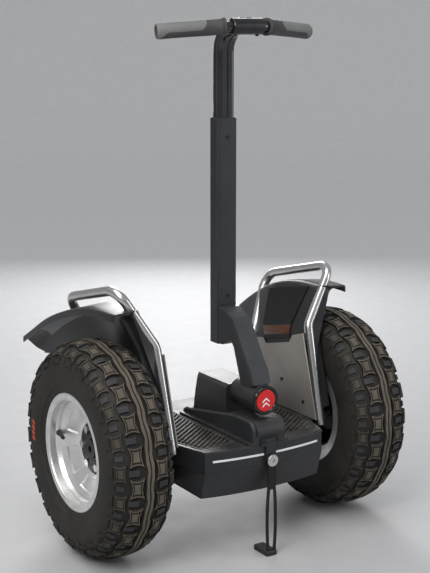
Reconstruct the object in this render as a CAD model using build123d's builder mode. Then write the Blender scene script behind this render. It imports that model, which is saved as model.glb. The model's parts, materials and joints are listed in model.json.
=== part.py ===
from build123d import *
from math import atan2, cos, degrees, pi, radians, sin, sqrt, tan
import os

# Two-wheeled self-balancing transporter, in millimetres.
# The origin is on the ground under the middle of the whole machine, +Z is up and -Y is the front.
# Sketches use axle coordinates: y and z are measured from the axle line, by side(), level(), front().

# Wheels
tyre_radius = 266.5
tyre_width = 163.0
bead_radius = 127.0
rim_half_width = 69.5
flange_height = 15.9
flange_wall = 3.5
hub_radius = 64.0
lug_count = 6
lug_circle = 96.0
lug_shank_radius = 5.0
wheel_shaft_radius = 17.5

# Powerbase
deck_half_width = 200.0
deck_corner_half_width = 171.0
deck_shoulder_y = 110.0
deck_front_y = -216.0
deck_rear_y = 188.0
deck_crown = 19.0
deck_top = 16.5
deck_frame_height = 7.0
casting_bottom = -34.5
battery_bottom = -103.5
battery_undercut = 20.0
bay_half_depth = 54.0
mat_inner_x = 66.0
mat_outer_x = 190.0
mat_front_y = -188.0
mat_rear_y = 150.0
mat_rise = 3.5
mat_travel = 2.0

# Drive train: motor pinion to layshaft gear, layshaft pinion to output gear
stage_one_module = 1.25
stage_one_teeth = (15, 72)
stage_two_module = 1.5
stage_two_teeth = (13, 65)
pressure_angle = 25.0
backlash = 0.14
motor_drop = 44.5
motor_radius = 46.0
motor_length = 86.0
rotor_radius = 26.6
motor_shaft_radius = 6.0
layshaft_radius = 7.0

# Lean pivot, arm and column
pivot_height = 118.0
pivot_shaft_radius = 9.5
pivot_bearing_radius = 15.5
pivot_roof = 4.0
lean_hub_radius = 36.0
lean_hub_front_y = -213.0
lean_hub_rear_y = -145.0
arm_half_width = 25.0
arm_top = 320.5
badge_radius = 27.0
column_width = 54.0
column_depth = 42.0
column_wall = 3.0
column_front_y = -46.0
column_bottom = 226.0
column_top = 783.5

# Post and handlebar
post_gap = 1.0
post_bottom = 583.0
bar_y = -124.0
bar_z = 999.5
bar_radius = 12.4
clamp_radius = 19.3
clamp_half_width = 43.0
grip_radius = 18.5
grip_end = (214.0, -72.7, 987.7)

# Fenders
plate_thickness = 3.0
fender_wall = 3.5
fender_tail_y = 400.0
lip_height = 18.0
handle_radius = 12.0

# Kickstand
stand_y = -241.0
stand_pivot_z = -23.5
stand_thickness = 5.0
foot_height = 12.0

# Fits
running = 0.05
loose = 0.3
seat = 0.5

# Places that follow from the sizes above
axle_y = -(fender_tail_y - tyre_radius) / 2
axle_z = tyre_radius
plate_x = deck_half_width + 3.0
case_x = plate_x + plate_thickness + 1.0
tyre_inner_x = deck_half_width + 63.5
half_track = tyre_inner_x + tyre_width / 2
flange_radius = bead_radius + flange_height
axle = Axis((0, axle_y, axle_z), (1, 0, 0))
wheel_section = Plane(origin=(half_track, axle_y, axle_z), x_dir=(1, 0, 0), z_dir=(0, -1, 0))
deck_base = deck_top - deck_frame_height


def side(x):
    """Plane across X: its own axes are Y and Z from the axle line."""
    return Plane(origin=(x, axle_y, axle_z), x_dir=(0, 1, 0), z_dir=(1, 0, 0))


def level(z):
    """Level plane at z above the axle: its own axes are X and Y."""
    return Plane(origin=(0, axle_y, axle_z + z), x_dir=(1, 0, 0), z_dir=(0, 0, 1))


def front(y):
    """Plane across Y, facing forwards: its own axes are X and Z."""
    return Plane(origin=(0, axle_y + y, axle_z), x_dir=(1, 0, 0), z_dir=(0, -1, 0))


def at(x, y, z):
    """Point given from the axle line."""
    return Vector(x, axle_y + y, axle_z + z)


def save(builder, node):
    """Label a finished sub-part and write it."""
    builder.part.label = node
    export_step(builder.part, f"parts/{node}.step")


def save_sides(left, piece):
    """Write a left sub-part and its mirror image on the right."""
    save(left, f"left_{piece}")
    with BuildPart() as right:
        mirror(left.part, about=Plane.YZ)
    save(right, f"right_{piece}")


def save_pair(left, node):
    """Write a left piece and its mirror image as two solids of one node."""
    with BuildPart() as pair:
        add(left.part)
        mirror(left.part, about=Plane.YZ)
    save(pair, node)


os.makedirs("parts", exist_ok=True)

# ---------------------------------------------------------------- wheels
bead_x = rim_half_width - flange_wall
with BuildPart() as left_tyre:
    belly = bead_radius + 70
    edge = tyre_radius - 20.5
    shoulder = tyre_width / 2 - 7.5
    casing = 9.0
    inner = tyre_width / 2 - casing
    with BuildSketch(wheel_section):
        with BuildLine():
            Line((bead_x, bead_radius), (bead_x, flange_radius + 1))
            ThreePointArc((bead_x, flange_radius + 1), (tyre_width / 2, belly), (shoulder, edge))
            ThreePointArc((shoulder, edge), (0, tyre_radius), (-shoulder, edge))
            ThreePointArc((-shoulder, edge), (-tyre_width / 2, belly), (-bead_x, flange_radius + 1))
            Polyline(
                (-bead_x, flange_radius + 1),
                (-bead_x, bead_radius),
                (-bead_x + 16, bead_radius),
                (-bead_x + 13, bead_radius + 13),
            )
            ThreePointArc((-bead_x + 13, bead_radius + 13), (-inner, belly), (-shoulder + casing, edge - 7))
            ThreePointArc(
                (-shoulder + casing, edge - 7), (0, tyre_radius - casing - 3), (shoulder - casing, edge - 7)
            )
            ThreePointArc((shoulder - casing, edge - 7), (inner, belly), (bead_x - 13, bead_radius + 13))
            Polyline((bead_x - 13, bead_radius + 13), (bead_x - 16, bead_radius), (bead_x, bead_radius))
        make_face()
    revolve(axis=axle)
save_sides(left_tyre, "tyre")

disc_face = 5.0
disc_wall = 6.0
drop_radius = bead_radius - 21
with BuildPart() as left_rim:
    with BuildSketch(wheel_section):
        Polygon(
            (rim_half_width, flange_radius),
            (bead_x, flange_radius),
            (bead_x, bead_radius),
            (bead_x - 24, bead_radius),
            (bead_x - 44, drop_radius),
            (-bead_x + 28, drop_radius),
            (-bead_x + 20, bead_radius),
            (-bead_x, bead_radius),
            (-bead_x, flange_radius),
            (-rim_half_width, flange_radius),
            (-rim_half_width, bead_radius - 3.5),
            (-bead_x + 25, bead_radius - 3.5),
            (-bead_x + 34, drop_radius - 4),
            (bead_x - 44, drop_radius - 4),
            (disc_face - disc_wall, hub_radius + 3),
            (disc_face - disc_wall, hub_radius / 2),
            (disc_face, hub_radius / 2),
            (disc_face, hub_radius + 1),
            (bead_x - 27.5, bead_radius - 8),
            (bead_x - 25.5, bead_radius - 4.5),
            (bead_x, bead_radius - 3),
            (rim_half_width, bead_radius + 3),
            align=None,
        )
    revolve(axis=axle)
    with BuildSketch(side(half_track + disc_face)):
        with PolarLocations(lug_circle / 2, lug_count):
            Circle(lug_shank_radius + loose)
    extrude(amount=-disc_wall, mode=Mode.SUBTRACT)
save_sides(left_rim, "rim")

hub_face = half_track + disc_face
hub_thickness = 7.0
shaft_inner_x = case_x + 21.0
with BuildPart() as left_hub:
    with BuildSketch(side(hub_face)):
        Circle(hub_radius)
    extrude(amount=hub_thickness)
    chamfer(left_hub.edges().filter_by(GeomType.CIRCLE).sort_by(Axis.X)[-1], 1.5)
    with BuildSketch(side(hub_face)):
        Circle(hub_radius / 2 - loose)
    extrude(amount=-disc_wall - 4)
    with BuildSketch(side(hub_face + hub_thickness)):
        Circle(hub_radius * 0.38)
    extrude(amount=8)
    with BuildSketch(side(hub_face + hub_thickness + 8)):
        RegularPolygon(9, 6)
    extrude(amount=-7, mode=Mode.SUBTRACT)
    with BuildSketch(side(shaft_inner_x)):
        Circle(wheel_shaft_radius)
    extrude(amount=hub_face - shaft_inner_x)
    with BuildSketch(side(hub_face + hub_thickness)):
        with PolarLocations(lug_circle / 2, lug_count):
            Circle(lug_shank_radius + loose)
    extrude(amount=-hub_thickness, mode=Mode.SUBTRACT)
save_sides(left_hub, "hub")

with BuildPart() as left_lug_bolts:
    with BuildSketch(side(hub_face + hub_thickness)):
        with PolarLocations(lug_circle / 2, lug_count):
            RegularPolygon(8.5, 6, major_radius=False)
    extrude(amount=7)
    with BuildSketch(side(hub_face + hub_thickness)):
        with PolarLocations(lug_circle / 2, lug_count):
            Circle(lug_shank_radius)
    extrude(amount=-hub_thickness - disc_wall + 1)
save_sides(left_lug_bolts, "lug_bolts")


# ---------------------------------------------------------------- drive train
def gear_face(teeth, module, centre, first_tooth):
    """Spur gear outline with involute flanks; first_tooth is one tooth's middle angle in degrees."""
    pitch_radius = teeth * module / 2
    base_radius = pitch_radius * cos(radians(pressure_angle))
    tip_radius = pitch_radius + 0.92 * module
    root_radius = pitch_radius - 1.2 * module
    half_tooth = pi / (2 * teeth) - backlash / (2 * pitch_radius)
    roll = tan(radians(pressure_angle)) - radians(pressure_angle)
    start_radius = max(base_radius, root_radius + 0.05)
    radii = [start_radius + (tip_radius - start_radius) * step / 3 for step in range(4)]
    flank = []
    for radius in radii:
        angle = sqrt(max((radius / base_radius) ** 2 - 1, 0))
        flank.append((radius, half_tooth + roll - (angle - atan2(angle, 1))))
    outline = []
    for tooth in range(teeth):
        middle = radians(first_tooth) + 2 * pi * tooth / teeth
        right = [(root_radius, flank[0][1])] + flank
        outline += [polar(radius, middle - offset_angle) for radius, offset_angle in right]
        outline += [polar(radius, middle + offset_angle) for radius, offset_angle in reversed(right)]
    with BuildSketch(mode=Mode.PRIVATE) as face:
        with Locations(centre):
            Polygon(*outline, align=None)
    return face.sketch


def polar(radius, angle):
    """Plane point at a radius and an angle in radians."""
    return (radius * cos(angle), radius * sin(angle))


stage_one_distance = sum(stage_one_teeth) * stage_one_module / 2
stage_two_distance = sum(stage_two_teeth) * stage_two_module / 2
motor_centre = (0.0, -motor_drop)
lay_z = (stage_one_distance**2 - stage_two_distance**2 - motor_drop**2) / (2 * motor_drop)
lay_centre = (sqrt(stage_two_distance**2 - lay_z**2), lay_z)
output_angle = degrees(atan2(lay_centre[1], lay_centre[0]))
motor_angle = degrees(atan2(motor_centre[1] - lay_centre[1], motor_centre[0] - lay_centre[0]))
case_wall = 6.0
case_depth = 44.0
stage_one_x = case_x + case_wall + 2
stage_two_x = case_x + case_wall + 19
gear_width = 9.0
wide_gear = 14.0
cover_x = case_x + case_depth
cover_wall = 8.0
nose_length = 17.0
output_bearing_radius = 30.0
lay_bearing_radius = 11.0
output_case_radius = stage_two_teeth[1] * stage_two_module / 2 + 13
lay_case_radius = stage_one_teeth[1] * stage_one_module / 2 + 9


def case_outline(shrink):
    """Gearbox outline round the output, layshaft and motor centres, smaller by shrink."""
    circles = ((0.0, 0.0, output_case_radius), (*lay_centre, lay_case_radius), (*motor_centre, 22.0))
    with BuildSketch(mode=Mode.PRIVATE) as outline:
        for y, z, radius in circles:
            with Locations((y, z)):
                Circle(radius - shrink)
        make_hull()
    return outline.sketch


with BuildPart() as left_output_gear:
    with BuildSketch(side(stage_two_x)):
        add(gear_face(stage_two_teeth[1], stage_two_module, (0, 0), output_angle))
        Circle(wheel_shaft_radius, mode=Mode.SUBTRACT)
        with PolarLocations(33, 6):
            Circle(6, mode=Mode.SUBTRACT)
    extrude(amount=wide_gear)
save_sides(left_output_gear, "output_gear")

with BuildPart() as left_layshaft:
    with BuildSketch(side(stage_two_x - 1)):
        pinion_tooth = output_angle + 180 + 180 / stage_two_teeth[0]
        add(gear_face(stage_two_teeth[0], stage_two_module, lay_centre, pinion_tooth))
    extrude(amount=wide_gear + 2)
    with BuildSketch(side(stage_one_x)):
        add(gear_face(stage_one_teeth[1], stage_one_module, lay_centre, motor_angle))
        with Locations(lay_centre):
            with PolarLocations(27, 6):
                Circle(7, mode=Mode.SUBTRACT)
    extrude(amount=gear_width)
    with BuildSketch(side(case_x + 1)):
        with Locations(lay_centre):
            Circle(layshaft_radius)
    extrude(amount=case_depth + 5)
save_sides(left_layshaft, "layshaft")

motor_outer_x = deck_half_width - 2
with BuildPart() as left_rotor:
    with BuildSketch(side(motor_outer_x - motor_length + 7)):
        with Locations(motor_centre):
            Circle(rotor_radius)
    extrude(amount=motor_length - 14)
    with BuildSketch(side(motor_outer_x - motor_length + 1)):
        with Locations(motor_centre):
            Circle(motor_shaft_radius)
    extrude(amount=stage_one_x + gear_width + 1 - motor_outer_x + motor_length)
    with BuildSketch(side(stage_one_x - 1)):
        pinion_tooth = motor_angle + 180 + 180 / stage_one_teeth[0]
        add(gear_face(stage_one_teeth[0], stage_one_module, motor_centre, pinion_tooth))
    extrude(amount=gear_width + 2)
save_sides(left_rotor, "rotor")

with BuildPart() as left_motor:
    with BuildSketch(side(motor_outer_x - motor_length)):
        with Locations(motor_centre):
            Circle(motor_radius)
    extrude(amount=motor_length)
    with BuildSketch(side(motor_outer_x - motor_length + 6)):
        with Locations(motor_centre):
            Circle(rotor_radius + 0.4)
    extrude(amount=motor_length - 12, mode=Mode.SUBTRACT)
    with BuildSketch(side(motor_outer_x - motor_length)):
        with Locations(motor_centre):
            Circle(motor_shaft_radius + running)
    extrude(amount=motor_length, mode=Mode.SUBTRACT)
save_pair(left_motor, "motor_stators")

with BuildPart() as left_case:
    with BuildSketch(side(case_x)):
        add(case_outline(0))
    extrude(amount=case_depth)
    with BuildSketch(side(deck_half_width)):
        with Locations(motor_centre):
            Circle(motor_radius - 2)
    extrude(amount=case_x - deck_half_width)
    with BuildSketch(side(case_x + case_wall)):
        add(case_outline(5))
    extrude(amount=case_depth - case_wall, mode=Mode.SUBTRACT)
    with BuildSketch(side(deck_half_width)):
        with Locations(motor_centre):
            Circle(motor_radius / 3)
    extrude(amount=case_x + case_wall - deck_half_width, mode=Mode.SUBTRACT)
    with BuildSketch(side(case_x + 1)):
        with Locations(lay_centre):
            Circle(lay_bearing_radius)
    extrude(amount=case_wall, mode=Mode.SUBTRACT)
save_pair(left_case, "gearbox_cases")

with BuildPart() as left_cover:
    with BuildSketch(side(cover_x)):
        add(case_outline(0))
    extrude(amount=cover_wall)
    with BuildSketch(side(cover_x + cover_wall)):
        Circle(output_bearing_radius + 5)
    extrude(amount=nose_length)
    with BuildSketch(side(cover_x)):
        Circle(output_bearing_radius)
        with Locations(lay_centre):
            Circle(lay_bearing_radius)
    extrude(amount=6, mode=Mode.SUBTRACT)
    with BuildSketch(side(cover_x + 6)):
        Circle(output_bearing_radius)
    extrude(amount=cover_wall + nose_length - 8, mode=Mode.SUBTRACT)
    with BuildSketch(side(cover_x + 6)):
        Circle(wheel_shaft_radius + loose)
    extrude(amount=cover_wall + nose_length, mode=Mode.SUBTRACT)
    with BuildSketch(side(cover_x + cover_wall)):
        with PolarLocations(output_case_radius - 6, 5, start_angle=80, angular_range=200):
            Circle(3.5)
    extrude(amount=3)
save_pair(left_cover, "gearbox_covers")

with BuildPart() as left_bearings:
    with BuildSketch(side(cover_x + 7)):
        Circle(output_bearing_radius)
        Circle(wheel_shaft_radius + running, mode=Mode.SUBTRACT)
    extrude(amount=cover_wall + nose_length - 10)
    for x in (case_x + 1.5, cover_x + 0.5):
        with BuildSketch(side(x)):
            with Locations(lay_centre):
                Circle(lay_bearing_radius)
                Circle(layshaft_radius + running, mode=Mode.SUBTRACT)
        extrude(amount=5)
save_pair(left_bearings, "gearbox_bearings")


# ---------------------------------------------------------------- powerbase
def base_outline(inset, half_corner=deck_corner_half_width, half_width=deck_half_width):
    """Plan outline of the base with crowned ends, smaller by inset."""
    front_y = deck_front_y + inset
    rear_y = deck_rear_y - inset
    with BuildSketch(mode=Mode.PRIVATE) as outline:
        with BuildLine():
            corner = half_corner - inset
            wide = half_width - inset
            ThreePointArc((-corner, front_y), (0, front_y - deck_crown), (corner, front_y))
            Polyline((corner, front_y), (wide, -deck_shoulder_y), (wide, deck_shoulder_y), (corner, rear_y))
            ThreePointArc((corner, rear_y), (0, rear_y + 12), (-corner, rear_y))
            Polyline(
                (-corner, rear_y), (-wide, deck_shoulder_y), (-wide, -deck_shoulder_y), (-corner, front_y)
            )
        make_face()
    return outline.sketch


switch_radius = 8.0
switch_margin = 23.0
switch_x = (mat_inner_x + mat_outer_x) / 2
switch_places = [(x, y) for x in (-switch_x, switch_x) for y in (-120, 80)]
bore_inner_x = motor_outer_x - motor_length - 1
boards_half_width = switch_x - switch_radius - switch_margin
with BuildPart() as chassis_casting:
    with BuildSketch(level(casting_bottom)):
        add(base_outline(0))
    extrude(amount=deck_base - casting_bottom)
    fillet(chassis_casting.edges().filter_by(Axis.Z), 6)
    with BuildSketch(level(battery_bottom + 2)):
        Rectangle(2 * deck_half_width, 2 * bay_half_depth)
    extrude(amount=casting_bottom - battery_bottom)
    for sign in (-1, 1):
        with BuildSketch(side(sign * bore_inner_x)):
            with Locations(motor_centre):
                Circle(motor_radius + running)
        extrude(amount=sign * (deck_half_width - bore_inner_x + 1), mode=Mode.SUBTRACT)
    with BuildSketch(level(deck_base)):
        Rectangle(2 * boards_half_width, 300)
    extrude(amount=-20, mode=Mode.SUBTRACT)
    with BuildSketch(level(deck_base)):
        with Locations(*switch_places):
            Circle(switch_radius + loose)
    extrude(amount=-6, mode=Mode.SUBTRACT)
save(chassis_casting, "chassis_casting")


def battery(face_y, crown, inner_y, undercut):
    """Battery pack from inner_y to a crowned outer face at face_y that slopes in towards the bottom."""
    half = deck_corner_half_width
    with BuildPart() as pack:
        for z, slope in ((battery_bottom, undercut), (casting_bottom - seat, 0)):
            with BuildSketch(level(z)):
                with BuildLine():
                    Line((-half, inner_y), (-half, face_y + slope))
                    edge_y = face_y + slope
                    ThreePointArc((-half, edge_y), (0, edge_y + crown), (half, edge_y))
                    Polyline((half, face_y + slope), (half, inner_y), (-half, inner_y))
                make_face()
        loft(ruled=True)
    return pack


front_battery = battery(deck_front_y, -deck_crown, -bay_half_depth - 2, battery_undercut)
save(front_battery, "front_battery")
rear_battery = battery(deck_rear_y, 12, bay_half_depth + 2, -battery_undercut)
save(rear_battery, "rear_battery")

with BuildPart() as battery_screws:
    with BuildSketch(level(battery_bottom)):
        with Locations(*[(x, y) for x in (-140, 140) for y in (-170, -75, 75, 160)]):
            Circle(5.5)
    extrude(amount=-3)
save(battery_screws, "battery_screws")

with BuildPart() as control_boards:
    for x in (-boards_half_width / 2, boards_half_width / 2):
        with BuildSketch(level(deck_base - 17)):
            with Locations((x, 0)):
                Rectangle(boards_half_width - 8, 270)
        extrude(amount=1.6)
        with BuildSketch(level(deck_base - 15.4)):
            with Locations((x, 0)):
                with GridLocations(24, 45, 2, 5):
                    Rectangle(16, 24)
        extrude(amount=8)
save(control_boards, "control_boards")

with BuildPart() as balance_sensor:
    with BuildSketch(level(deck_base - 20)):
        Rectangle(6, 280)
    extrude(amount=3)
    with BuildSketch(level(deck_base - 17)):
        with Locations((0, 120)):
            Rectangle(6, 36)
    extrude(amount=12)
save(balance_sensor, "balance_sensor")

with BuildPart() as rider_switches:
    with BuildSketch(level(deck_base - 6)):
        with Locations(*switch_places):
            Circle(switch_radius)
    extrude(amount=6)
save(rider_switches, "rider_switches")

crown_radius = (deck_corner_half_width**2 + deck_crown**2) / (2 * deck_crown)
with BuildPart() as front_reflectors:
    with BuildSketch(level(-10.5)):
        with Locations((0, deck_front_y - deck_crown + crown_radius)):
            Circle(crown_radius + 1)
            Circle(crown_radius, mode=Mode.SUBTRACT)
        with Locations((-85, deck_front_y - 10), (85, deck_front_y - 10)):
            Rectangle(135, 60, mode=Mode.INTERSECT)
    extrude(amount=5)
save(front_reflectors, "front_reflectors")

console_half_width = 48.0
mat_gap = 1.0
mat_width = mat_outer_x - mat_inner_x
mat_length = mat_rear_y - mat_front_y
mat_centre = ((mat_inner_x + mat_outer_x) / 2, (mat_front_y + mat_rear_y) / 2)
mat_border = 9.0


def mat_outline(grow):
    """Left mat outline, kept inside the base outline, larger by grow."""
    with BuildSketch(mode=Mode.PRIVATE) as outline:
        with Locations(mat_centre):
            RectangleRounded(mat_width + 2 * grow, mat_length + 2 * grow, 12 + grow)
        add(base_outline(mat_border - grow), mode=Mode.INTERSECT)
    return outline.sketch


with BuildPart() as deck_frame:
    with BuildSketch(level(deck_base)):
        add(base_outline(0))
        pocket = mat_outline(mat_gap)
        add(pocket, mode=Mode.SUBTRACT)
        add(pocket.mirror(Plane.YZ), mode=Mode.SUBTRACT)
    extrude(amount=deck_frame_height)
    fillet(deck_frame.edges().group_by(Axis.Z)[-1].group_by(Axis.Y)[0], 3)
save(deck_frame, "deck_frame")

with BuildPart() as left_mat:
    with BuildSketch(level(deck_base + mat_travel + 0.6)):
        add(mat_outline(0))
    extrude(amount=deck_frame_height + mat_rise - mat_travel - 2.6)
    with BuildSketch(level(deck_top + mat_rise - 2)):
        with Locations(mat_centre):
            with GridLocations(0, 16, 1, 20):
                Rectangle(mat_width - 16, 7)
        add(mat_outline(-6), mode=Mode.INTERSECT)
    extrude(amount=2)
save_sides(left_mat, "mat")

# ---------------------------------------------------------------- console and lean pivot
base_half_width = 42.0
base_front_y = -105.0
base_rear_y = 60.0
lid_half_width = 37.0
lid_rear_y = -207.0
console_front_y = deck_front_y - deck_crown
with BuildPart() as console_housing:
    with BuildSketch(side(-console_half_width)):
        with BuildLine():
            Polyline((100, deck_top), (console_front_y, deck_top), (console_front_y, 44))
            ThreePointArc((console_front_y, 44), (-225, 66), (lid_rear_y, 74))
            Polyline((lid_rear_y, 74), (-150, 74), (3, 48), (70, 36))
            ThreePointArc((70, 36), (92, 29), (100, deck_top))
        make_face()
    extrude(amount=2 * console_half_width)
    flanks = console_housing.faces().filter_by(Axis.X)
    fillet(flanks.edges().filter_by(lambda edge: edge.center().Z > axle_z + deck_top + 1), 6)
    with BuildSketch(level(deck_top)):
        with Locations((0, (console_front_y + 100) / 2)):
            RectangleRounded(2 * console_half_width + 24, 100 - console_front_y, 14)
    extrude(amount=6)
    with BuildSketch(level(deck_top)):
        with Locations((0, (base_front_y + base_rear_y) / 2)):
            Rectangle(2 * base_half_width + seat, base_rear_y - base_front_y + seat)
    extrude(amount=80, mode=Mode.SUBTRACT)
    with BuildSketch(side(-lid_half_width - loose)):
        Polygon((lid_rear_y, 90), (lid_rear_y, 38), (-260, 38), (-260, 90), align=None)
    extrude(amount=2 * (lid_half_width + loose), mode=Mode.SUBTRACT)
save(console_housing, "console_housing")

with BuildPart() as charge_port_cover:
    with BuildSketch(side(-lid_half_width)):
        with BuildLine():
            Line((console_front_y - 4, 40), (console_front_y - 4, 47))
            ThreePointArc((console_front_y - 4, 47), (-226, 67), (lid_rear_y - loose, 73.5))
            Line((lid_rear_y - loose, 73.5), (lid_rear_y - loose, 69.5))
            ThreePointArc((lid_rear_y - loose, 69.5), (-223.5, 64), (console_front_y, 47))
            Polyline((console_front_y, 47), (console_front_y, 40), (console_front_y - 4, 40))
        make_face()
    extrude(amount=2 * lid_half_width)
    with BuildSketch(level(75)):
        with Locations((0, lid_rear_y - 9)):
            SlotOverall(30, 8)
    extrude(amount=-4.5, mode=Mode.SUBTRACT)
save(charge_port_cover, "charge_port_cover")

with BuildPart() as charge_socket:
    with BuildSketch(front(lid_rear_y)):
        with Locations((0, 53)):
            RectangleRounded(32, 24, 4)
    extrude(amount=10)
    with BuildSketch(front(lid_rear_y - 10)):
        with Locations((0, 53)):
            with GridLocations(7, 0, 3, 1):
                Circle(2)
    extrude(amount=-8, mode=Mode.SUBTRACT)
save(charge_socket, "charge_socket")

nose_radius = 33.0
nose_front_y = lean_hub_rear_y + 2
base_top = pivot_height + pivot_bearing_radius + pivot_roof
with BuildPart() as pivot_base:
    with BuildSketch(side(-base_half_width)):
        Polygon(
            (base_front_y, deck_top),
            (base_front_y, base_top),
            (base_rear_y - 24, base_top),
            (base_rear_y - 12, base_top - 44),
            (base_rear_y, 30),
            (base_rear_y, deck_top),
            align=None,
        )
    extrude(amount=2 * base_half_width)
    flanks = pivot_base.faces().filter_by(Axis.X)
    chamfer(flanks.edges().filter_by(lambda edge: edge.center().Z > axle_z + base_top - 30), 8)
    with BuildSketch(front(base_front_y)):
        with Locations((0, pivot_height)):
            Circle(nose_radius)
    extrude(amount=base_front_y - nose_front_y)
    with BuildSketch(front(base_rear_y - 30)):
        with Locations((0, pivot_height)):
            Circle(pivot_bearing_radius)
    extrude(amount=base_rear_y - 30 - nose_front_y, mode=Mode.SUBTRACT)
save(pivot_base, "pivot_base")

with BuildPart() as pivot_bearings:
    for y in (nose_front_y + 16, base_rear_y - 32):
        with BuildSketch(front(y)):
            with Locations((0, pivot_height)):
                Circle(pivot_bearing_radius)
                Circle(pivot_shaft_radius, mode=Mode.SUBTRACT)
        extrude(amount=14)
save(pivot_bearings, "pivot_bearings")

spring_wire = 1.5
with BuildPart() as centring_spring:
    with Locations(*[at(0, base_rear_y - 60 - 4.4 * turn, pivot_height) for turn in range(16)]):
        Torus(pivot_shaft_radius + spring_wire + 0.8, spring_wire, rotation=(90, 0, 0))
save(centring_spring, "centring_spring")

with BuildPart() as lean_shaft:
    with BuildSketch(front(base_rear_y - 31)):
        with Locations((0, pivot_height)):
            Circle(pivot_shaft_radius - running)
    extrude(amount=base_rear_y - 31 - lean_hub_rear_y + 25)
save(lean_shaft, "lean_shaft")

# ---------------------------------------------------------------- lean arm
arm_front = [
    (-200, 154),
    (-190, 185),
    (-171, 208),
    (-143, 251),
    (-114, 295),
    (-103, 303),
    (-84, 312),
    (-63, arm_top),
]
cover_depth = 12.0
arm_split = [(y + cover_depth, z) for y, z in arm_front]
with BuildPart() as lean_arm:
    with BuildSketch(side(-arm_half_width)):
        Polygon(
            (lean_hub_front_y + cover_depth, pivot_height),
            *[(y + seat, z - seat) for y, z in arm_split[:-1]],
            (column_front_y, arm_top - 4),
            (column_front_y, column_bottom + 2),
            (-62, column_bottom + 2),
            (-100, 246),
            (-112, 232),
            (lean_hub_rear_y, 146),
            (lean_hub_rear_y, pivot_height),
            align=None,
        )
    extrude(amount=2 * arm_half_width)
    with BuildSketch(front(lean_hub_rear_y)):
        with Locations((0, pivot_height)):
            Circle(lean_hub_radius)
    extrude(amount=lean_hub_rear_y - lean_hub_front_y)
    with BuildSketch(front(lean_hub_rear_y)):
        with Locations((0, pivot_height)):
            Circle(pivot_shaft_radius - running)
    extrude(amount=25, mode=Mode.SUBTRACT)
save(lean_arm, "lean_arm")

with BuildPart() as arm_cover:
    with BuildSketch(side(-arm_half_width)):
        Polygon(
            *arm_front,
            (column_front_y, arm_top),
            (column_front_y, arm_top - 3.5),
            *reversed(arm_split[:-1]),
            align=None,
        )
    extrude(amount=2 * arm_half_width)
save(arm_cover, "arm_cover")

with BuildPart() as badge_bezel:
    with BuildSketch(front(lean_hub_front_y)):
        with Locations((0, pivot_height)):
            Circle(lean_hub_radius - 0.5)
            Circle(badge_radius + loose, mode=Mode.SUBTRACT)
    extrude(amount=6)
    chamfer(badge_bezel.edges().group_by(Axis.Y)[0], 2)
save(badge_bezel, "badge_bezel")

with BuildPart() as lean_badge:
    with BuildSketch(front(lean_hub_front_y)):
        with Locations((0, pivot_height)):
            Circle(badge_radius)
    extrude(amount=4.5)
    fillet(lean_badge.edges().group_by(Axis.Y)[0], 1.5)
save(lean_badge, "lean_badge")

# ---------------------------------------------------------------- column, post and handlebar
column_y = column_front_y + column_depth / 2
post_width = column_width - 2 * column_wall - 2 * post_gap
post_depth = column_depth - 2 * column_wall - 2 * post_gap
column_bore = (column_width - 2 * column_wall, column_depth - 2 * column_wall)
channel_width = 24.0
channel_depth = 1.5
trim_bottom = column_bottom + 110
with BuildPart() as column:
    with BuildSketch(level(column_bottom)):
        with Locations((0, column_y)):
            RectangleRounded(column_width, column_depth, 6)
            RectangleRounded(*column_bore, 3, mode=Mode.SUBTRACT)
    extrude(amount=column_top - column_bottom)
    for sign in (-1, 1):
        with BuildSketch(level(trim_bottom)):
            with Locations((sign * column_width / 2, column_y)):
                Rectangle(2 * channel_depth, channel_width)
        extrude(amount=column_top - trim_bottom, mode=Mode.SUBTRACT)
    with BuildSketch(level(column_bottom)):
        with Locations((0, column_y)):
            Rectangle(*column_bore)
    extrude(amount=4)
save(column, "column")

with BuildPart() as column_trims:
    for sign in (-1, 1):
        with BuildSketch(level(trim_bottom)):
            with Locations((sign * (column_width / 2 - channel_depth + 0.5), column_y)):
                Rectangle(1.0, channel_width - 2)
        extrude(amount=column_top - trim_bottom - 2)
save(column_trims, "column_trims")

with BuildPart() as post_bush:
    with BuildSketch(level(column_top - 45)):
        with Locations((0, column_y)):
            RectangleRounded(column_bore[0] - 0.2, column_bore[1] - 0.2, 3)
            RectangleRounded(post_width + 2 * running, post_depth + 2 * running, 9, mode=Mode.SUBTRACT)
    extrude(amount=46.5)
save(post_bush, "post_bush")

with BuildPart() as column_screws:
    with BuildSketch(front(column_front_y)):
        with Locations((0, column_top - 46), (0, column_bottom + 120)):
            Circle(4.5)
    extrude(amount=2)
save(column_screws, "column_screws")

lobe_radius = 3.0
with BuildPart() as post:
    with BuildLine():
        FilletPolyline(
            at(0, column_y, post_bottom),
            at(0, column_y, bar_z - 12),
            at(0, bar_y, bar_z + 4),
            radius=58,
        )
    with BuildSketch(level(post_bottom)):
        with Locations((0, column_y)):
            RectangleRounded(post_width, post_depth, 9)
            half = (post_width / 2, post_depth / 2)
            with Locations((half[0], 0), (-half[0], 0), (0, half[1]), (0, -half[1])):
                Circle(lobe_radius, mode=Mode.SUBTRACT)
    sweep()
    with BuildSketch(side(-column_width)):
        with Locations((bar_y, bar_z)):
            Circle(clamp_radius)
            with Locations((-20, 0)):
                Rectangle(40, 70)
    extrude(amount=2 * column_width, mode=Mode.SUBTRACT)
save(post, "post")

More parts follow.
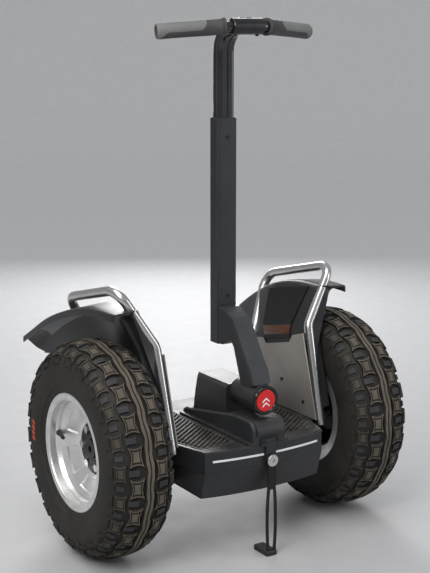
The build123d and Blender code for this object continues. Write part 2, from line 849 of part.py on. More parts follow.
with BuildPart() as bar_clamp:
    with BuildSketch(side(-clamp_half_width)):
        with Locations((bar_y, bar_z)):
            Circle(clamp_radius - 0.1)
            Circle(bar_radius + loose, mode=Mode.SUBTRACT)
    extrude(amount=2 * clamp_half_width)
    chamfer(bar_clamp.edges().filter_by(GeomType.CIRCLE).group_by(Axis.X)[0].sort_by(SortBy.RADIUS)[-1], 2)
    chamfer(bar_clamp.edges().filter_by(GeomType.CIRCLE).group_by(Axis.X)[-1].sort_by(SortBy.RADIUS)[-1], 2)
save(bar_clamp, "bar_clamp")

with BuildPart() as clamp_screws:
    with BuildSketch(level(bar_z - clamp_radius + 0.1)):
        with Locations((-30, bar_y), (30, bar_y)):
            Circle(4)
    extrude(amount=-3)
save(clamp_screws, "clamp_screws")

bar_bend_x = clamp_half_width + 7
grip_direction = Vector(grip_end[0] - bar_bend_x, grip_end[1] - bar_y, grip_end[2] - bar_z)
grip_length = grip_direction.length
left_end = at(bar_bend_x, bar_y, bar_z) + grip_direction * 0.95
right_end = Vector(-left_end.X, left_end.Y, left_end.Z)
with BuildPart() as handlebar:
    with BuildLine():
        FilletPolyline(
            right_end,
            at(-bar_bend_x, bar_y, bar_z),
            at(bar_bend_x, bar_y, bar_z),
            left_end,
            radius=40,
        )
    with BuildSketch(Plane(origin=right_end, z_dir=at(-bar_bend_x, bar_y, bar_z) - right_end)):
        Circle(bar_radius)
        Circle(bar_radius - 2.5, mode=Mode.SUBTRACT)
    sweep()
save(handlebar, "handlebar")

grip_plane = Plane(origin=at(bar_bend_x, bar_y, bar_z), x_dir=(0, 0, 1), z_dir=grip_direction)
with BuildPart() as left_grip:
    with BuildSketch(grip_plane.offset(7)):
        Circle(grip_radius + 2.5)
    extrude(amount=6)
    with BuildSketch(grip_plane.offset(12)):
        Circle(grip_radius)
    extrude(amount=grip_length - 12)
    fillet(left_grip.edges().filter_by(GeomType.CIRCLE).sort_by(Axis.X)[-1], 5)
    with BuildSketch(grip_plane):
        Circle(bar_radius + running)
    extrude(amount=grip_length * 0.955, mode=Mode.SUBTRACT)
save_sides(left_grip, "grip")

# ---------------------------------------------------------------- fenders
flank_lean = 0.316
flank_foot_z = 173.0
flank_x = case_x
ridge_x = flank_x + 55
fender_top = tyre_radius + 79
lip_x = half_track + 11
body_x = tyre_inner_x - 5.5

# Fender sections from front to rear: y, floor, ridge x and height, lip x and height
stations = [
    (-160, 18, ridge_x, fender_top + 2, lip_x - 62, fender_top - 12),
    (-60, 18, ridge_x, fender_top + 2, lip_x - 32, fender_top - 7),
    (30, 18, ridge_x, fender_top, lip_x - 11, fender_top - 6),
    (121, 18, ridge_x - 5, fender_top - 16, lip_x - 3, fender_top - 26),
    (242, 130, ridge_x + 28, fender_top - 66, lip_x, fender_top - 67),
    (346, 142, ridge_x + 30, fender_top - 128, lip_x, fender_top - 118),
    (fender_tail_y, 138, ridge_x + 34, fender_top - 172, lip_x, fender_top - 145),
]


def fender_section(floor, ridge_x, ridge, edge_x, edge):
    """Outer fender section: foot, leaning flank, ridge, lip and the side towards the tyre."""
    foot_z = min(flank_foot_z, floor + 12) if floor > 100 else flank_foot_z
    foot_x = flank_x if floor < 100 else ridge_x - flank_lean * (ridge - foot_z) - 14
    under = max(ridge - 55, floor + 4)
    return [
        (foot_x, floor),
        (foot_x, foot_z),
        ((foot_x + ridge_x) / 2, (foot_z + ridge) / 2),
        (ridge_x, ridge),
        (edge_x, edge),
        (edge_x, edge - lip_height),
        (ridge_x + 12, under),
        (max(body_x, foot_x + 6), max(under - 56, floor + 2)),
        (max(body_x, foot_x + 6), floor),
    ]


def fender_hollow(floor, ridge_x, ridge, edge_x, edge):
    """Hollow under the fender skin, open below and towards the tyre."""
    outer = fender_section(floor, ridge_x, ridge, edge_x, edge)
    wall = fender_wall
    return [
        (outer[0][0] + wall, floor - 30),
        (outer[1][0] + wall, outer[1][1]),
        (outer[2][0] + wall, outer[2][1]),
        (ridge_x + wall, ridge - wall),
        (edge_x - wall, edge - wall),
        (edge_x - wall, floor - 30),
    ]


handle_path = [
    (case_x + handle_radius, -145.0, 2.0),
    (case_x + handle_radius + 5.5, -79.0, tyre_radius - 15),
    (case_x + handle_radius + 94.9, -53.2, tyre_radius + 129),
    (case_x + handle_radius + 87.6, 233.2, tyre_radius + 60),
    (case_x + handle_radius + 7, 167.0, tyre_radius - 74),
    (case_x + handle_radius, 128.0, 2.0),
]
front_edge = [(-143, 40), (-84, 236), (-121, 331)]

with BuildPart() as left_fender_handle:
    with BuildLine():
        FilletPolyline(*[at(*point) for point in handle_path], radius=40)
    foot_run = at(*handle_path[1]) - at(*handle_path[0])
    with BuildSketch(Plane(origin=at(*handle_path[0]), z_dir=foot_run)):
        Circle(handle_radius)
    sweep()
save_pair(left_fender_handle, "fender_handles")

groove_radius = handle_radius + 1
with BuildPart() as handle_groove:
    with BuildLine():
        FilletPolyline(*[at(*point) for point in handle_path], radius=40)
    with BuildSketch(Plane(origin=at(*handle_path[0]), z_dir=foot_run)):
        Circle(groove_radius)
    sweep()


def front_cut(shift):
    """Block that trims the fender ahead of its front edge, moved back by shift."""
    with BuildPart() as block:
        with BuildSketch(side(deck_half_width)):
            edge = [(y + shift, z) for y, z in front_edge]
            Polygon((-300, -60), (edge[0][0] - 5, -60), *edge, (edge[2][0], 420), (-300, 420), align=None)
        extrude(amount=200)
        with BuildSketch(level(250)):
            Polygon(
                (deck_half_width, -300),
                (deck_half_width, -44 + shift),
                (264, -44 + shift),
                (306 + shift, -122),
                (306 + shift, -300),
                align=None,
            )
        extrude(amount=170)
    return block.part


with BuildPart() as fender_core:
    for y, *section in stations:
        shift = 0 if y < fender_tail_y else -fender_wall
        with BuildSketch(front(y + shift)):
            Polygon(*fender_hollow(*section), align=None)
    loft(ruled=True)
    add(front_cut(groove_radius + fender_wall), mode=Mode.SUBTRACT)

with BuildPart() as left_fender:
    for y, *section in stations:
        with BuildSketch(front(y)):
            Polygon(*fender_section(*section), align=None)
    loft(ruled=True)
    add(front_cut(0), mode=Mode.SUBTRACT)
    add(fender_core.part, mode=Mode.SUBTRACT)
    add(handle_groove.part, mode=Mode.SUBTRACT)
    with BuildSketch(side(case_x - 5)):
        add(case_outline(-3))
    extrude(amount=case_depth + 40, mode=Mode.SUBTRACT)
save_sides(left_fender, "fender")

with BuildPart() as left_plate:
    with BuildSketch(side(plate_x)):
        Polygon(
            (-146, deck_top + 1),
            (-84, 232),
            (-40, 218),
            (-25.5, 196.5),
            (82, 171.5),
            (98, 185),
            (148, 174),
            (128, deck_top + 1),
            align=None,
        )
    extrude(amount=plate_thickness)
    with BuildSketch(side(plate_x)):
        with Locations((5, 91), (-92, 52.5)):
            Circle(2.5 + loose)
    extrude(amount=plate_thickness, mode=Mode.SUBTRACT)
save_pair(left_plate, "fender_plates")

lean_angle = atan2(flank_lean, 1)
badge_plane = Plane(
    origin=at(flank_x - 0.4, 0, flank_foot_z),
    x_dir=(0, -1, 0),
    z_dir=(-cos(lean_angle), 0, sin(lean_angle)),
)
with BuildPart() as left_badge:
    with BuildSketch(badge_plane):
        panel = [(-33, 340), (130, 308), (116, 214), (92, 182), (-10, 204), (-3, 237)]
        Polygon(*[(-y, (z - flank_foot_z) / cos(lean_angle)) for y, z in panel], align=None)
    extrude(amount=2.5)
save_pair(left_badge, "fender_badges")

with BuildPart() as panel_screws:
    for sign in (-1, 1):
        with BuildSketch(side(sign * plate_x)):
            with Locations((5, 91), (-92, 52.5)):
                Circle(4.5)
        extrude(amount=-2.5 * sign)
        with BuildSketch(side(sign * plate_x)):
            with Locations((5, 91), (-92, 52.5)):
                Circle(2.5)
        extrude(amount=plate_thickness * sign)
    with BuildSketch(front(stand_y)):
        with Locations((-19, 24), (19, 24)):
            Circle(4.5)
    extrude(amount=2.5)
save(panel_screws, "panel_screws")

# ---------------------------------------------------------------- kickstand
bracket_thickness = console_front_y - stand_y
with BuildPart() as kickstand_bracket:
    with BuildSketch(front(console_front_y)):
        with Locations((0, 22)):
            RectangleRounded(54, 18, 4)
        with Locations((0, 0)):
            Rectangle(26, 44)
        with Locations((0, stand_pivot_z)):
            Circle(14)
    extrude(amount=bracket_thickness)
save(kickstand_bracket, "kickstand_bracket")

stand_bolt_radius = 5.0
leg_front_y = stand_y - stand_thickness
with BuildPart() as kickstand_bolt:
    with BuildSketch(front(stand_y)):
        with Locations((0, stand_pivot_z)):
            Circle(stand_bolt_radius)
    extrude(amount=stand_thickness + 1.3)
    with BuildSketch(front(leg_front_y - 0.3)):
        with Locations((0, stand_pivot_z)):
            Circle(15)
    extrude(amount=4)
    chamfer(kickstand_bolt.edges().group_by(Axis.Y)[0], 1)
    with BuildSketch(front(leg_front_y - 4.3)):
        with Locations((0, stand_pivot_z)):
            RegularPolygon(5, 6)
    extrude(amount=-3.5, mode=Mode.SUBTRACT)
save(kickstand_bolt, "kickstand_bolt")

foot_top = foot_height - axle_z
block_bottom = -97.5
leg_gap = 0.3
with BuildPart() as kickstand_leg:
    with BuildSketch(front(stand_y - leg_gap)):
        with Locations((0, stand_pivot_z)):
            Circle(16)
        with Locations((0, (stand_pivot_z + block_bottom) / 2)):
            Rectangle(23, stand_pivot_z - block_bottom)
        for sign in (-1, 1):
            with BuildLine():
                ThreePointArc(
                    (sign * 5, block_bottom + 2),
                    (sign * 9, (block_bottom + foot_top) / 2),
                    (sign * 6, foot_top + 4),
                )
                Line((sign * 6, foot_top + 4), (sign * 12.5, foot_top + 4))
                ThreePointArc(
                    (sign * 12.5, foot_top + 4),
                    (sign * 15.5, (block_bottom + foot_top) / 2),
                    (sign * 11.5, block_bottom + 2),
                )
                Line((sign * 11.5, block_bottom + 2), (sign * 5, block_bottom + 2))
            make_face()
        with Locations((0, foot_top + 3)):
            Rectangle(27, 6)
        with Locations((0, stand_pivot_z)):
            Circle(stand_bolt_radius + running, mode=Mode.SUBTRACT)
    extrude(amount=stand_thickness - leg_gap)
save(kickstand_leg, "kickstand_leg")

with BuildPart() as kickstand_foot:
    with BuildSketch(level(-axle_z)):
        with Locations((0, stand_y + 22)):
            RectangleRounded(31, 62, 6)
    extrude(amount=foot_height)
    chamfer(kickstand_foot.edges().group_by(Axis.Z)[-1], 2)
save(kickstand_foot, "kickstand_foot")
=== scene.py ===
"""Visual model of a two-wheeled self-balancing transporter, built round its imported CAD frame."""
from __future__ import annotations

import json
import logging
import math
from dataclasses import dataclass
from enum import Enum
from typing import Callable, Sequence

import bmesh
import bpy
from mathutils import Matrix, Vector

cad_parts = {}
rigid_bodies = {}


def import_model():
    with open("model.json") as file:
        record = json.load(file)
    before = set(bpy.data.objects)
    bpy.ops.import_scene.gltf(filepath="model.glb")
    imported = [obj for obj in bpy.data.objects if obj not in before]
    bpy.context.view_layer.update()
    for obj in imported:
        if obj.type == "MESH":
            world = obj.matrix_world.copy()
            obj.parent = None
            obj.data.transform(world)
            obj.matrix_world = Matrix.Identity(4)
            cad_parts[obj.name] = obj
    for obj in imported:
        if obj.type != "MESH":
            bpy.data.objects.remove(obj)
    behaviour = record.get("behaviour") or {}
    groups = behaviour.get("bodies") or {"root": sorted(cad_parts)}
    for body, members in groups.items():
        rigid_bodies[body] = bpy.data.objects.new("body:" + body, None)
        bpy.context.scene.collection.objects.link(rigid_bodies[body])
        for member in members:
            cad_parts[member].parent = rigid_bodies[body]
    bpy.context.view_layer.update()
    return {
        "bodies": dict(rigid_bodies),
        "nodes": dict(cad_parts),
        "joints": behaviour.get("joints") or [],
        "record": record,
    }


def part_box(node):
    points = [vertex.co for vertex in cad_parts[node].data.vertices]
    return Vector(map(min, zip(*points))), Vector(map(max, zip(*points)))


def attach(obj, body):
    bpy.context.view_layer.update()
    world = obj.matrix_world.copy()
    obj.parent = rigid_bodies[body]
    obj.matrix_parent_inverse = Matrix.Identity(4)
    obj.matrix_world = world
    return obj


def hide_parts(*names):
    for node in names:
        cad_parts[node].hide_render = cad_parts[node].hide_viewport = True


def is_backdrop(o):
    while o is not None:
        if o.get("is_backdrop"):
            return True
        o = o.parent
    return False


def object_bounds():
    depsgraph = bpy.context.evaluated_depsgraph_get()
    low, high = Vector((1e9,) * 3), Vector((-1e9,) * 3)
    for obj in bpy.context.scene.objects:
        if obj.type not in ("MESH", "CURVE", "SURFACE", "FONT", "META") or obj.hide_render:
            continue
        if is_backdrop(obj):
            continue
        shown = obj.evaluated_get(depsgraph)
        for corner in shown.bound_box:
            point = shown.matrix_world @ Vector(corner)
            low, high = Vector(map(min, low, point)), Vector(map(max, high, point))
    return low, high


MM = 0.001
Colour = tuple[float, float, float]
Point = tuple[float, float]
log = logging.getLogger("transporter")


class Side(Enum):
    """Which half of the machine a piece is on; the value is the sign of its X."""

    LEFT = 1
    RIGHT = -1

    @property
    def word(self) -> str:
        """The side's name as the CAD nodes and bodies spell it."""
        return self.name.lower()


class Lay(Enum):
    """The way a finish's fine lines run; the value stretches the noise along each axis."""

    EVEN = (1.0, 1.0, 1.0)
    ALONG_Y = (1.0, 0.03, 1.0)
    ALONG_Z = (1.0, 1.0, 0.03)


@dataclass(frozen=True)
class Datum:
    """Main places of the machine, read from the CAD nodes, in metres."""

    axle: Vector
    wheel_x: float
    tyre_radius: float

    @classmethod
    def read(cls) -> Datum:
        """Take the axle line and the wheel centre from the left tyre's box.

        Returns:
            The machine's main places.
        """
        low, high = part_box("left_tyre")
        middle = (low + high) / 2
        return cls(Vector((0.0, middle.y, middle.z)), middle.x, (high.z - low.z) / 2)

    def at(self, x: float, y: float, z: float) -> Vector:
        """Point given in millimetres from the axle line."""
        return self.axle + Vector((x, y, z)) * MM


# ---------------------------------------------------------------- materials
class Shade:
    """A node socket that takes part in arithmetic; each operation adds a Math node."""

    def __init__(self, recipe: Recipe, socket: bpy.types.NodeSocket) -> None:
        """Keep the recipe that owns the node tree and the socket itself."""
        self.recipe = recipe
        self.socket = socket

    def _math(self, operation: str, first: Value, second: Value, clamp: bool = False) -> Shade:
        """Add one Math node.

        Args:
            operation: Blender's name of the operation.
            first: left-hand value.
            second: right-hand value.
            clamp: keep the result between 0 and 1.

        Returns:
            The node's result.
        """
        return self.recipe.node(
            "ShaderNodeMath", {"operation": operation, "use_clamp": clamp}, {0: first, 1: second}
        )

    def __add__(self, other: Value) -> Shade:
        """Sum."""
        return self._math("ADD", self, other)

    __radd__ = __add__

    def __mul__(self, other: Value) -> Shade:
        """Product."""
        return self._math("MULTIPLY", self, other)

    __rmul__ = __mul__

    def __sub__(self, other: Value) -> Shade:
        """Difference."""
        return self._math("SUBTRACT", self, other)

    def __rsub__(self, other: Value) -> Shade:
        """Difference from a plain number."""
        return self._math("SUBTRACT", other, self)

    def clamped(self) -> Shade:
        """The same value kept between 0 and 1."""
        return self._math("MULTIPLY", self, 1.0, clamp=True)


Value = float | Colour | Shade


class Recipe:
    """The node tree of one material while it is put together."""

    def __init__(self, name: str) -> None:
        """Start a material with only its shader and output."""
        self.material = bpy.data.materials.new(name)
        self.material.use_nodes = True
        self.tree = self.material.node_tree
        self.shader = self.tree.nodes["Principled BSDF"]
        self.place = self.node("ShaderNodeTexCoord", {}, {}, "Object")

    def node(self, kind: str, settings: dict, inputs: dict, output: int | str = 0) -> Shade:
        """Add a node.

        Args:
            kind: the node type.
            settings: properties set before the sockets; "stops" fills a colour ramp.
            inputs: sockets by name or number, each a plain value or a Shade.
            output: the wanted output socket.

        Returns:
            The wanted output.
        """
        node = self.tree.nodes.new(kind)
        stops = settings.get("stops", ())
        for key, value in settings.items():
            if key != "stops":
                setattr(node, key, value)
        for index, (position, value) in enumerate(stops):
            elements = node.color_ramp.elements
            element = elements[index] if index < 2 else elements.new(position)
            element.position = position
            element.color = (value, value, value, 1.0)
        for key, value in inputs.items():
            self.feed(node.inputs[key], value)
        return Shade(self, node.outputs[output])

    def feed(self, socket: bpy.types.NodeSocket, value: Value) -> None:
        """Link a Shade to a socket, or set a plain value on it.

        Args:
            socket: the input to fill.
            value: what it gets.
        """
        if isinstance(value, Shade):
            self.tree.links.new(value.socket, socket)
        elif socket.type == "RGBA":
            socket.default_value = (*value, 1.0)
        else:
            socket.default_value = value

    def noise(self, scale: float, detail: float = 3.0, lay: Lay = Lay.EVEN,
              seat: Shade | None = None) -> Shade:
        """Noise over the surface.

        Args:
            scale: features per metre.
            detail: octaves.
            lay: the way its lines run.
            seat: coordinates, or None for the object's own.

        Returns:
            A value about 0 to 1.
        """
        place = seat or self.place
        if lay is not Lay.EVEN:
            place = self.node("ShaderNodeMapping", {}, {"Vector": place, "Scale": lay.value})
        return self.node("ShaderNodeTexNoise", {}, {"Vector": place, "Scale": scale, "Detail": detail})

    def ramp(self, value: Shade, low: float, high: float) -> Shade:
        """Smooth step from 0 at low to 1 at high."""
        stops = ((low, 0.0), (high, 1.0)) if low < high else ((high, 1.0), (low, 0.0))
        return self.node("ShaderNodeValToRGB", {"stops": stops}, {"Fac": value})

    def mix(self, amount: Value, first: Value, second: Value) -> Shade:
        """Colour between first and second."""
        return self.node("ShaderNodeMix", {"data_type": "RGBA"}, {0: amount, 6: first, 7: second}, 2)

    def edges(self) -> Shade:
        """Mask that is 1 along sharp edges.

        Returns:
            The mask.
        """
        rounded = self.node("ShaderNodeBevel", {"samples": 4}, {"Radius": 1.4 * MM})
        plain = self.node("ShaderNodeNewGeometry", {}, {}, "Normal")
        likeness = self.node(
            "ShaderNodeVectorMath", {"operation": "DOT_PRODUCT"}, {0: rounded, 1: plain}, "Value"
        )
        return self.ramp(likeness, 0.99, 0.9)

    def upward(self) -> Shade:
        """Mask that is 1 on faces that look up."""
        normal = self.node("ShaderNodeNewGeometry", {}, {}, "Normal")
        return self.node("ShaderNodeSeparateXYZ", {}, {0: normal}, 2).clamped()

    def bump(self, height: Shade, depth: float) -> Shade:
        """Surface relief whose full height is depth, in millimetres."""
        return self.node("ShaderNodeBump", {}, {"Height": height, "Distance": depth * MM, "Strength": 1.0})

    def close(self, **sockets: Value) -> bpy.types.Material:
        """Feed the shader's sockets.

        Args:
            sockets: values by socket name, with _ for spaces.

        Returns:
            The finished material.
        """
        for key, value in sockets.items():
            self.feed(self.shader.inputs[key.replace("_", " ")], value)
        return self.material


@dataclass(frozen=True)
class Finish:
    """A worn surface: mottled colour, uneven gloss, fine grain, rubbed edges and settled dust."""

    name: str
    colour: Colour
    second: Colour
    roughness: float
    spread: float = 0.16
    metallic: float = 0.0
    coat: float = 0.0
    grain: float = 900.0
    relief: float = 0.05
    wear: float = 0.25
    rubbed: Colour = (0.13, 0.13, 0.13)
    dust: float = 0.1
    dirt: Colour = (0.24, 0.21, 0.17)
    lay: Lay = Lay.EVEN
    level: float = 0.4

    def material(self) -> bpy.types.Material:
        """Put the material together.

        Returns:
            The material.
        """
        recipe = Recipe(self.name)
        grain = recipe.noise(self.grain, 2.0, self.lay)
        patches = recipe.noise(14.0, 4.0)
        colour = recipe.mix(recipe.ramp(patches, 0.3, 0.7), self.colour, self.second)
        colour = recipe.mix((grain - 0.35).clamped() * 0.12, colour, self.rubbed)
        scuffs = recipe.ramp(recipe.noise(60.0, 5.0), 0.45, 0.7)
        colour = recipe.mix((recipe.edges() * scuffs * self.wear).clamped(), colour, self.rubbed)
        settled = (recipe.upward() * recipe.ramp(recipe.noise(35.0, 5.0), 0.35, 0.75) * self.dust).clamped()
        colour = recipe.mix(settled, colour, self.dirt)
        uneven = (patches - 0.5) * self.spread + (grain - 0.5) * self.spread * 0.6
        roughness = (uneven + self.roughness).clamped() + settled * 0.25
        material = recipe.close(
            Base_Color=colour, Roughness=roughness, Normal=recipe.bump(grain, self.relief),
            Metallic=self.metallic, Coat_Weight=self.coat, Coat_Roughness=0.08,
        )
        recipe.shader.inputs["Specular IOR Level"].default_value = self.level
        return material


@dataclass(frozen=True)
class TurnedMetal:
    """Lathe-turned aluminium with fine rings round an axle, dull stains and a painted edge highlight."""

    name: str
    colour: Colour
    roughness: float

    def material(self, centre: Vector) -> bpy.types.Material:
        """Put the material together.

        Args:
            centre: a point on the axle, which runs along X.

        Returns:
            The material.
        """
        recipe = Recipe(self.name)
        shifted = recipe.node(
            "ShaderNodeVectorMath", {"operation": "SUBTRACT"}, {0: recipe.place, 1: (0.0, centre.y, centre.z)}
        )
        parts = [recipe.node("ShaderNodeSeparateXYZ", {}, {0: shifted}, index) for index in range(3)]
        radius = recipe.node(
            "ShaderNodeMath", {"operation": "SQRT"}, {0: parts[1] * parts[1] + parts[2] * parts[2]}
        )
        ring = recipe.node("ShaderNodeCombineXYZ", {}, {0: parts[0], 1: radius, 2: 0.0})
        lines = recipe.noise(1500.0, 2.0, seat=ring)
        stains = recipe.ramp(recipe.noise(26.0, 6.0), 0.42, 0.72)
        dark = tuple(channel * 0.55 for channel in self.colour)
        colour = recipe.mix(stains * 0.45, self.colour, dark)
        # Painted highlight: every sharp edge is lightened towards near-white.
        colour = recipe.mix(recipe.edges() * 0.5, colour, (0.92, 0.92, 0.9))
        rough = (self.roughness + stains * 0.18 + (lines - 0.5) * 0.2).clamped()
        return recipe.close(
            Base_Color=colour, Roughness=rough, Metallic=0.92, Normal=recipe.bump(lines, 0.03)
        )


FINISHES: dict[str, Finish] = {
    "black_casting": Finish(
        "cast_black", (0.0115, 0.0125, 0.014), (0.019, 0.02, 0.022), 0.42, grain=1400.0, relief=0.06
    ),
    "black_moulding": Finish(
        "moulded_black", (0.014, 0.015, 0.017), (0.022, 0.0235, 0.026), 0.44, relief=0.09, dust=0.12
    ),
    "black_fastener": Finish(
        "black_oxide", (0.012, 0.012, 0.013), (0.024, 0.023, 0.022), 0.38, metallic=0.5, wear=0.5
    ),
    "circuit_board": Finish("solder_mask", (0.02, 0.11, 0.05), (0.03, 0.15, 0.07), 0.4),
    "soft_rubber": Finish("soft_rubber", (0.014, 0.014, 0.014), (0.024, 0.023, 0.022), 0.78, relief=0.08),
    "reflector_white": Finish(
        "reflective_strip", (0.82, 0.83, 0.84), (0.74, 0.75, 0.76), 0.3, grain=2600.0, rubbed=(0.6, 0.6, 0.6)
    ),
    "mat_rubber": Finish("mat_rubber", (0.013, 0.0125, 0.012), (0.026, 0.024, 0.022), 0.62, dust=0.3, relief=0.1),
    "bronze": Finish("bronze", (0.5, 0.34, 0.16), (0.4, 0.26, 0.12), 0.35, metallic=1.0),
    "spring_steel": Finish("oiled_steel", (0.36, 0.36, 0.37), (0.22, 0.22, 0.22), 0.32, metallic=1.0),
    "arm_paint": Finish(
        "charcoal_paint", (0.024, 0.0275, 0.032), (0.031, 0.035, 0.04), 0.44, grain=1600.0, relief=0.05, coat=0.1
    ),
    "gloss_trim": Finish(
        "gloss_black", (0.003, 0.003, 0.0035), (0.0045, 0.0045, 0.005), 0.14, spread=0.05, relief=0.004, coat=0.15,
        wear=0.05, dust=0.03, rubbed=(0.05, 0.05, 0.05)
    ),
    "badge_red": Finish(
        "badge_red", (0.72, 0.006, 0.01), (0.56, 0.005, 0.008), 0.22, relief=0.004, coat=0.25, wear=0.0, dust=0.0,
        rubbed=(0.85, 0.06, 0.05)
    ),
    "column_anodised": Finish(
        "charcoal_anodised", (0.02, 0.0215, 0.024), (0.027, 0.0285, 0.032), 0.4, metallic=0.15, grain=1400.0,
        relief=0.02, lay=Lay.ALONG_Z, wear=0.6, rubbed=(0.3, 0.3, 0.31)
    ),
    "post_anodised": Finish(
        "bright_black", (0.05, 0.051, 0.054), (0.065, 0.065, 0.068), 0.2, metallic=0.9, grain=1200.0,
        relief=0.01, lay=Lay.ALONG_Z, coat=0.3, dust=0.04
    ),
    "clamp_metal": Finish("dark_satin", (0.05, 0.052, 0.055), (0.03, 0.03, 0.032), 0.3, metallic=0.8, wear=0.6),
    "grip_rubber": Finish(
        "grip_rubber", (0.042, 0.043, 0.045), (0.058, 0.058, 0.06), 0.62, grain=1800.0, relief=0.14
    ),
    "fender_plastic": Finish(
        "satin_black", (0.011, 0.0115, 0.013), (0.018, 0.019, 0.021), 0.36, grain=1300.0, relief=0.07, dust=0.14
    ),
    "polished_steel": Finish(
        "brushed_tube", (0.66, 0.66, 0.655), (0.56, 0.555, 0.55), 0.24, metallic=1.0, grain=700.0, relief=0.012,
        lay=Lay.ALONG_Z, rubbed=(0.86, 0.86, 0.85), wear=0.3, dust=0.08
    ),
    "brushed_plate": Finish(
        "brushed_plate", (0.36, 0.335, 0.305), (0.3, 0.28, 0.255), 0.42, metallic=0.55, grain=900.0, relief=0.02,
        lay=Lay.ALONG_Y, rubbed=(0.6, 0.58, 0.55), dust=0.1
    ),
    "silver_bolt": Finish("bright_zinc", (0.66, 0.66, 0.65), (0.5, 0.49, 0.47), 0.26, metallic=1.0, grain=500.0),
    "gear_casting": Finish("cast_aluminium", (0.2, 0.2, 0.2), (0.14, 0.14, 0.14), 0.5, metallic=0.7, relief=0.12),
    "gear_steel": Finish("ground_steel", (0.32, 0.32, 0.33), (0.24, 0.24, 0.24), 0.3, metallic=1.0),
    "tyre_rubber": Finish(
        "tyre_carcass", (0.0105, 0.0095, 0.0085), (0.026, 0.022, 0.018), 0.7, grain=500.0, relief=0.2, dust=0.1,
        rubbed=(0.07, 0.06, 0.05), wear=0.2, level=0.35
    ),
    "rim_aluminium": Finish("bare_aluminium", (0.6, 0.6, 0.59), (0.5, 0.5, 0.49), 0.32, metallic=1.0),
}
DUSTY_TREAD = Finish(
    "dusty_tread", (0.062, 0.052, 0.039), (0.125, 0.106, 0.081), 0.84, grain=420.0, relief=0.25, dust=0.2,
    rubbed=(0.21, 0.185, 0.145), wear=0.6
)
SHOULDER_TREAD = Finish(
    "shoulder_tread", (0.03, 0.026, 0.021), (0.072, 0.061, 0.047), 0.82, grain=420.0, relief=0.25, dust=0.15,
    rubbed=(0.15, 0.13, 0.1), wear=0.5
)
TREAD_PAD = Finish(
    "slate_tread", (0.016, 0.0175, 0.02), (0.03, 0.032, 0.036), 0.7, grain=420.0, relief=0.2, dust=0.1
)
MARK_RED = Finish("mark_red", (0.62, 0.06, 0.018), (0.42, 0.04, 0.02), 0.5, grain=500.0, dust=0.1)
SYMBOL_WHITE = Finish("symbol_white", (0.86, 0.86, 0.85), (0.78, 0.78, 0.77), 0.35, wear=0.0, dust=0.0)
GRIP_TONGUE = Finish("grip_tongue", (0.15, 0.155, 0.152), (0.19, 0.192, 0.188), 0.58, grain=1500.0, relief=0.06)
LIGHT_PANEL = Finish(
    "grey_panel", (0.17, 0.175, 0.18), (0.23, 0.235, 0.24), 0.45, grain=1300.0, relief=0.06, dust=0.25
)
AMBER_FILM = Finish("amber_film", (0.06, 0.018, 0.005), (0.1, 0.03, 0.008), 0.16, relief=0.004, coat=0.5, dust=0.0)
FLOOR_PAINT = Finish(
    "pale_floor", (0.46, 0.46, 0.465), (0.44, 0.44, 0.445), 0.6, grain=160.0, relief=0.04, wear=0.0, dust=0.0,
    rubbed=(0.5, 0.5, 0.5)
)


class Palette:
    """Every material of the machine, made once and shared."""

    def __init__(self, datum: Datum) -> None:
        """Make the slot finishes and the extra ones."""
        self.slots = {slot: finish.material() for slot, finish in FINISHES.items()}
        self.turned = TurnedMetal("turned_aluminium", (0.8, 0.8, 0.79), 0.36).material(datum.axle)
        extra = (
            DUSTY_TREAD, SHOULDER_TREAD, TREAD_PAD, MARK_RED, SYMBOL_WHITE, GRIP_TONGUE, LIGHT_PANEL,
            AMBER_FILM, FLOOR_PAINT,
        )
        self.extra = {finish.name: finish.material() for finish in extra}

    def dress_nodes(self, frame: dict) -> None:
        """Give every CAD node the finish of its slot.
        """
        slots = {row["node"]: row["material_slot"] for row in frame["record"]["subparts"]}
        for name, node in frame["nodes"].items():
            for place in node.material_slots:
                place.material = self.slots[slots[name]]
        log.info("%d CAD nodes dressed", len(frame["nodes"]))


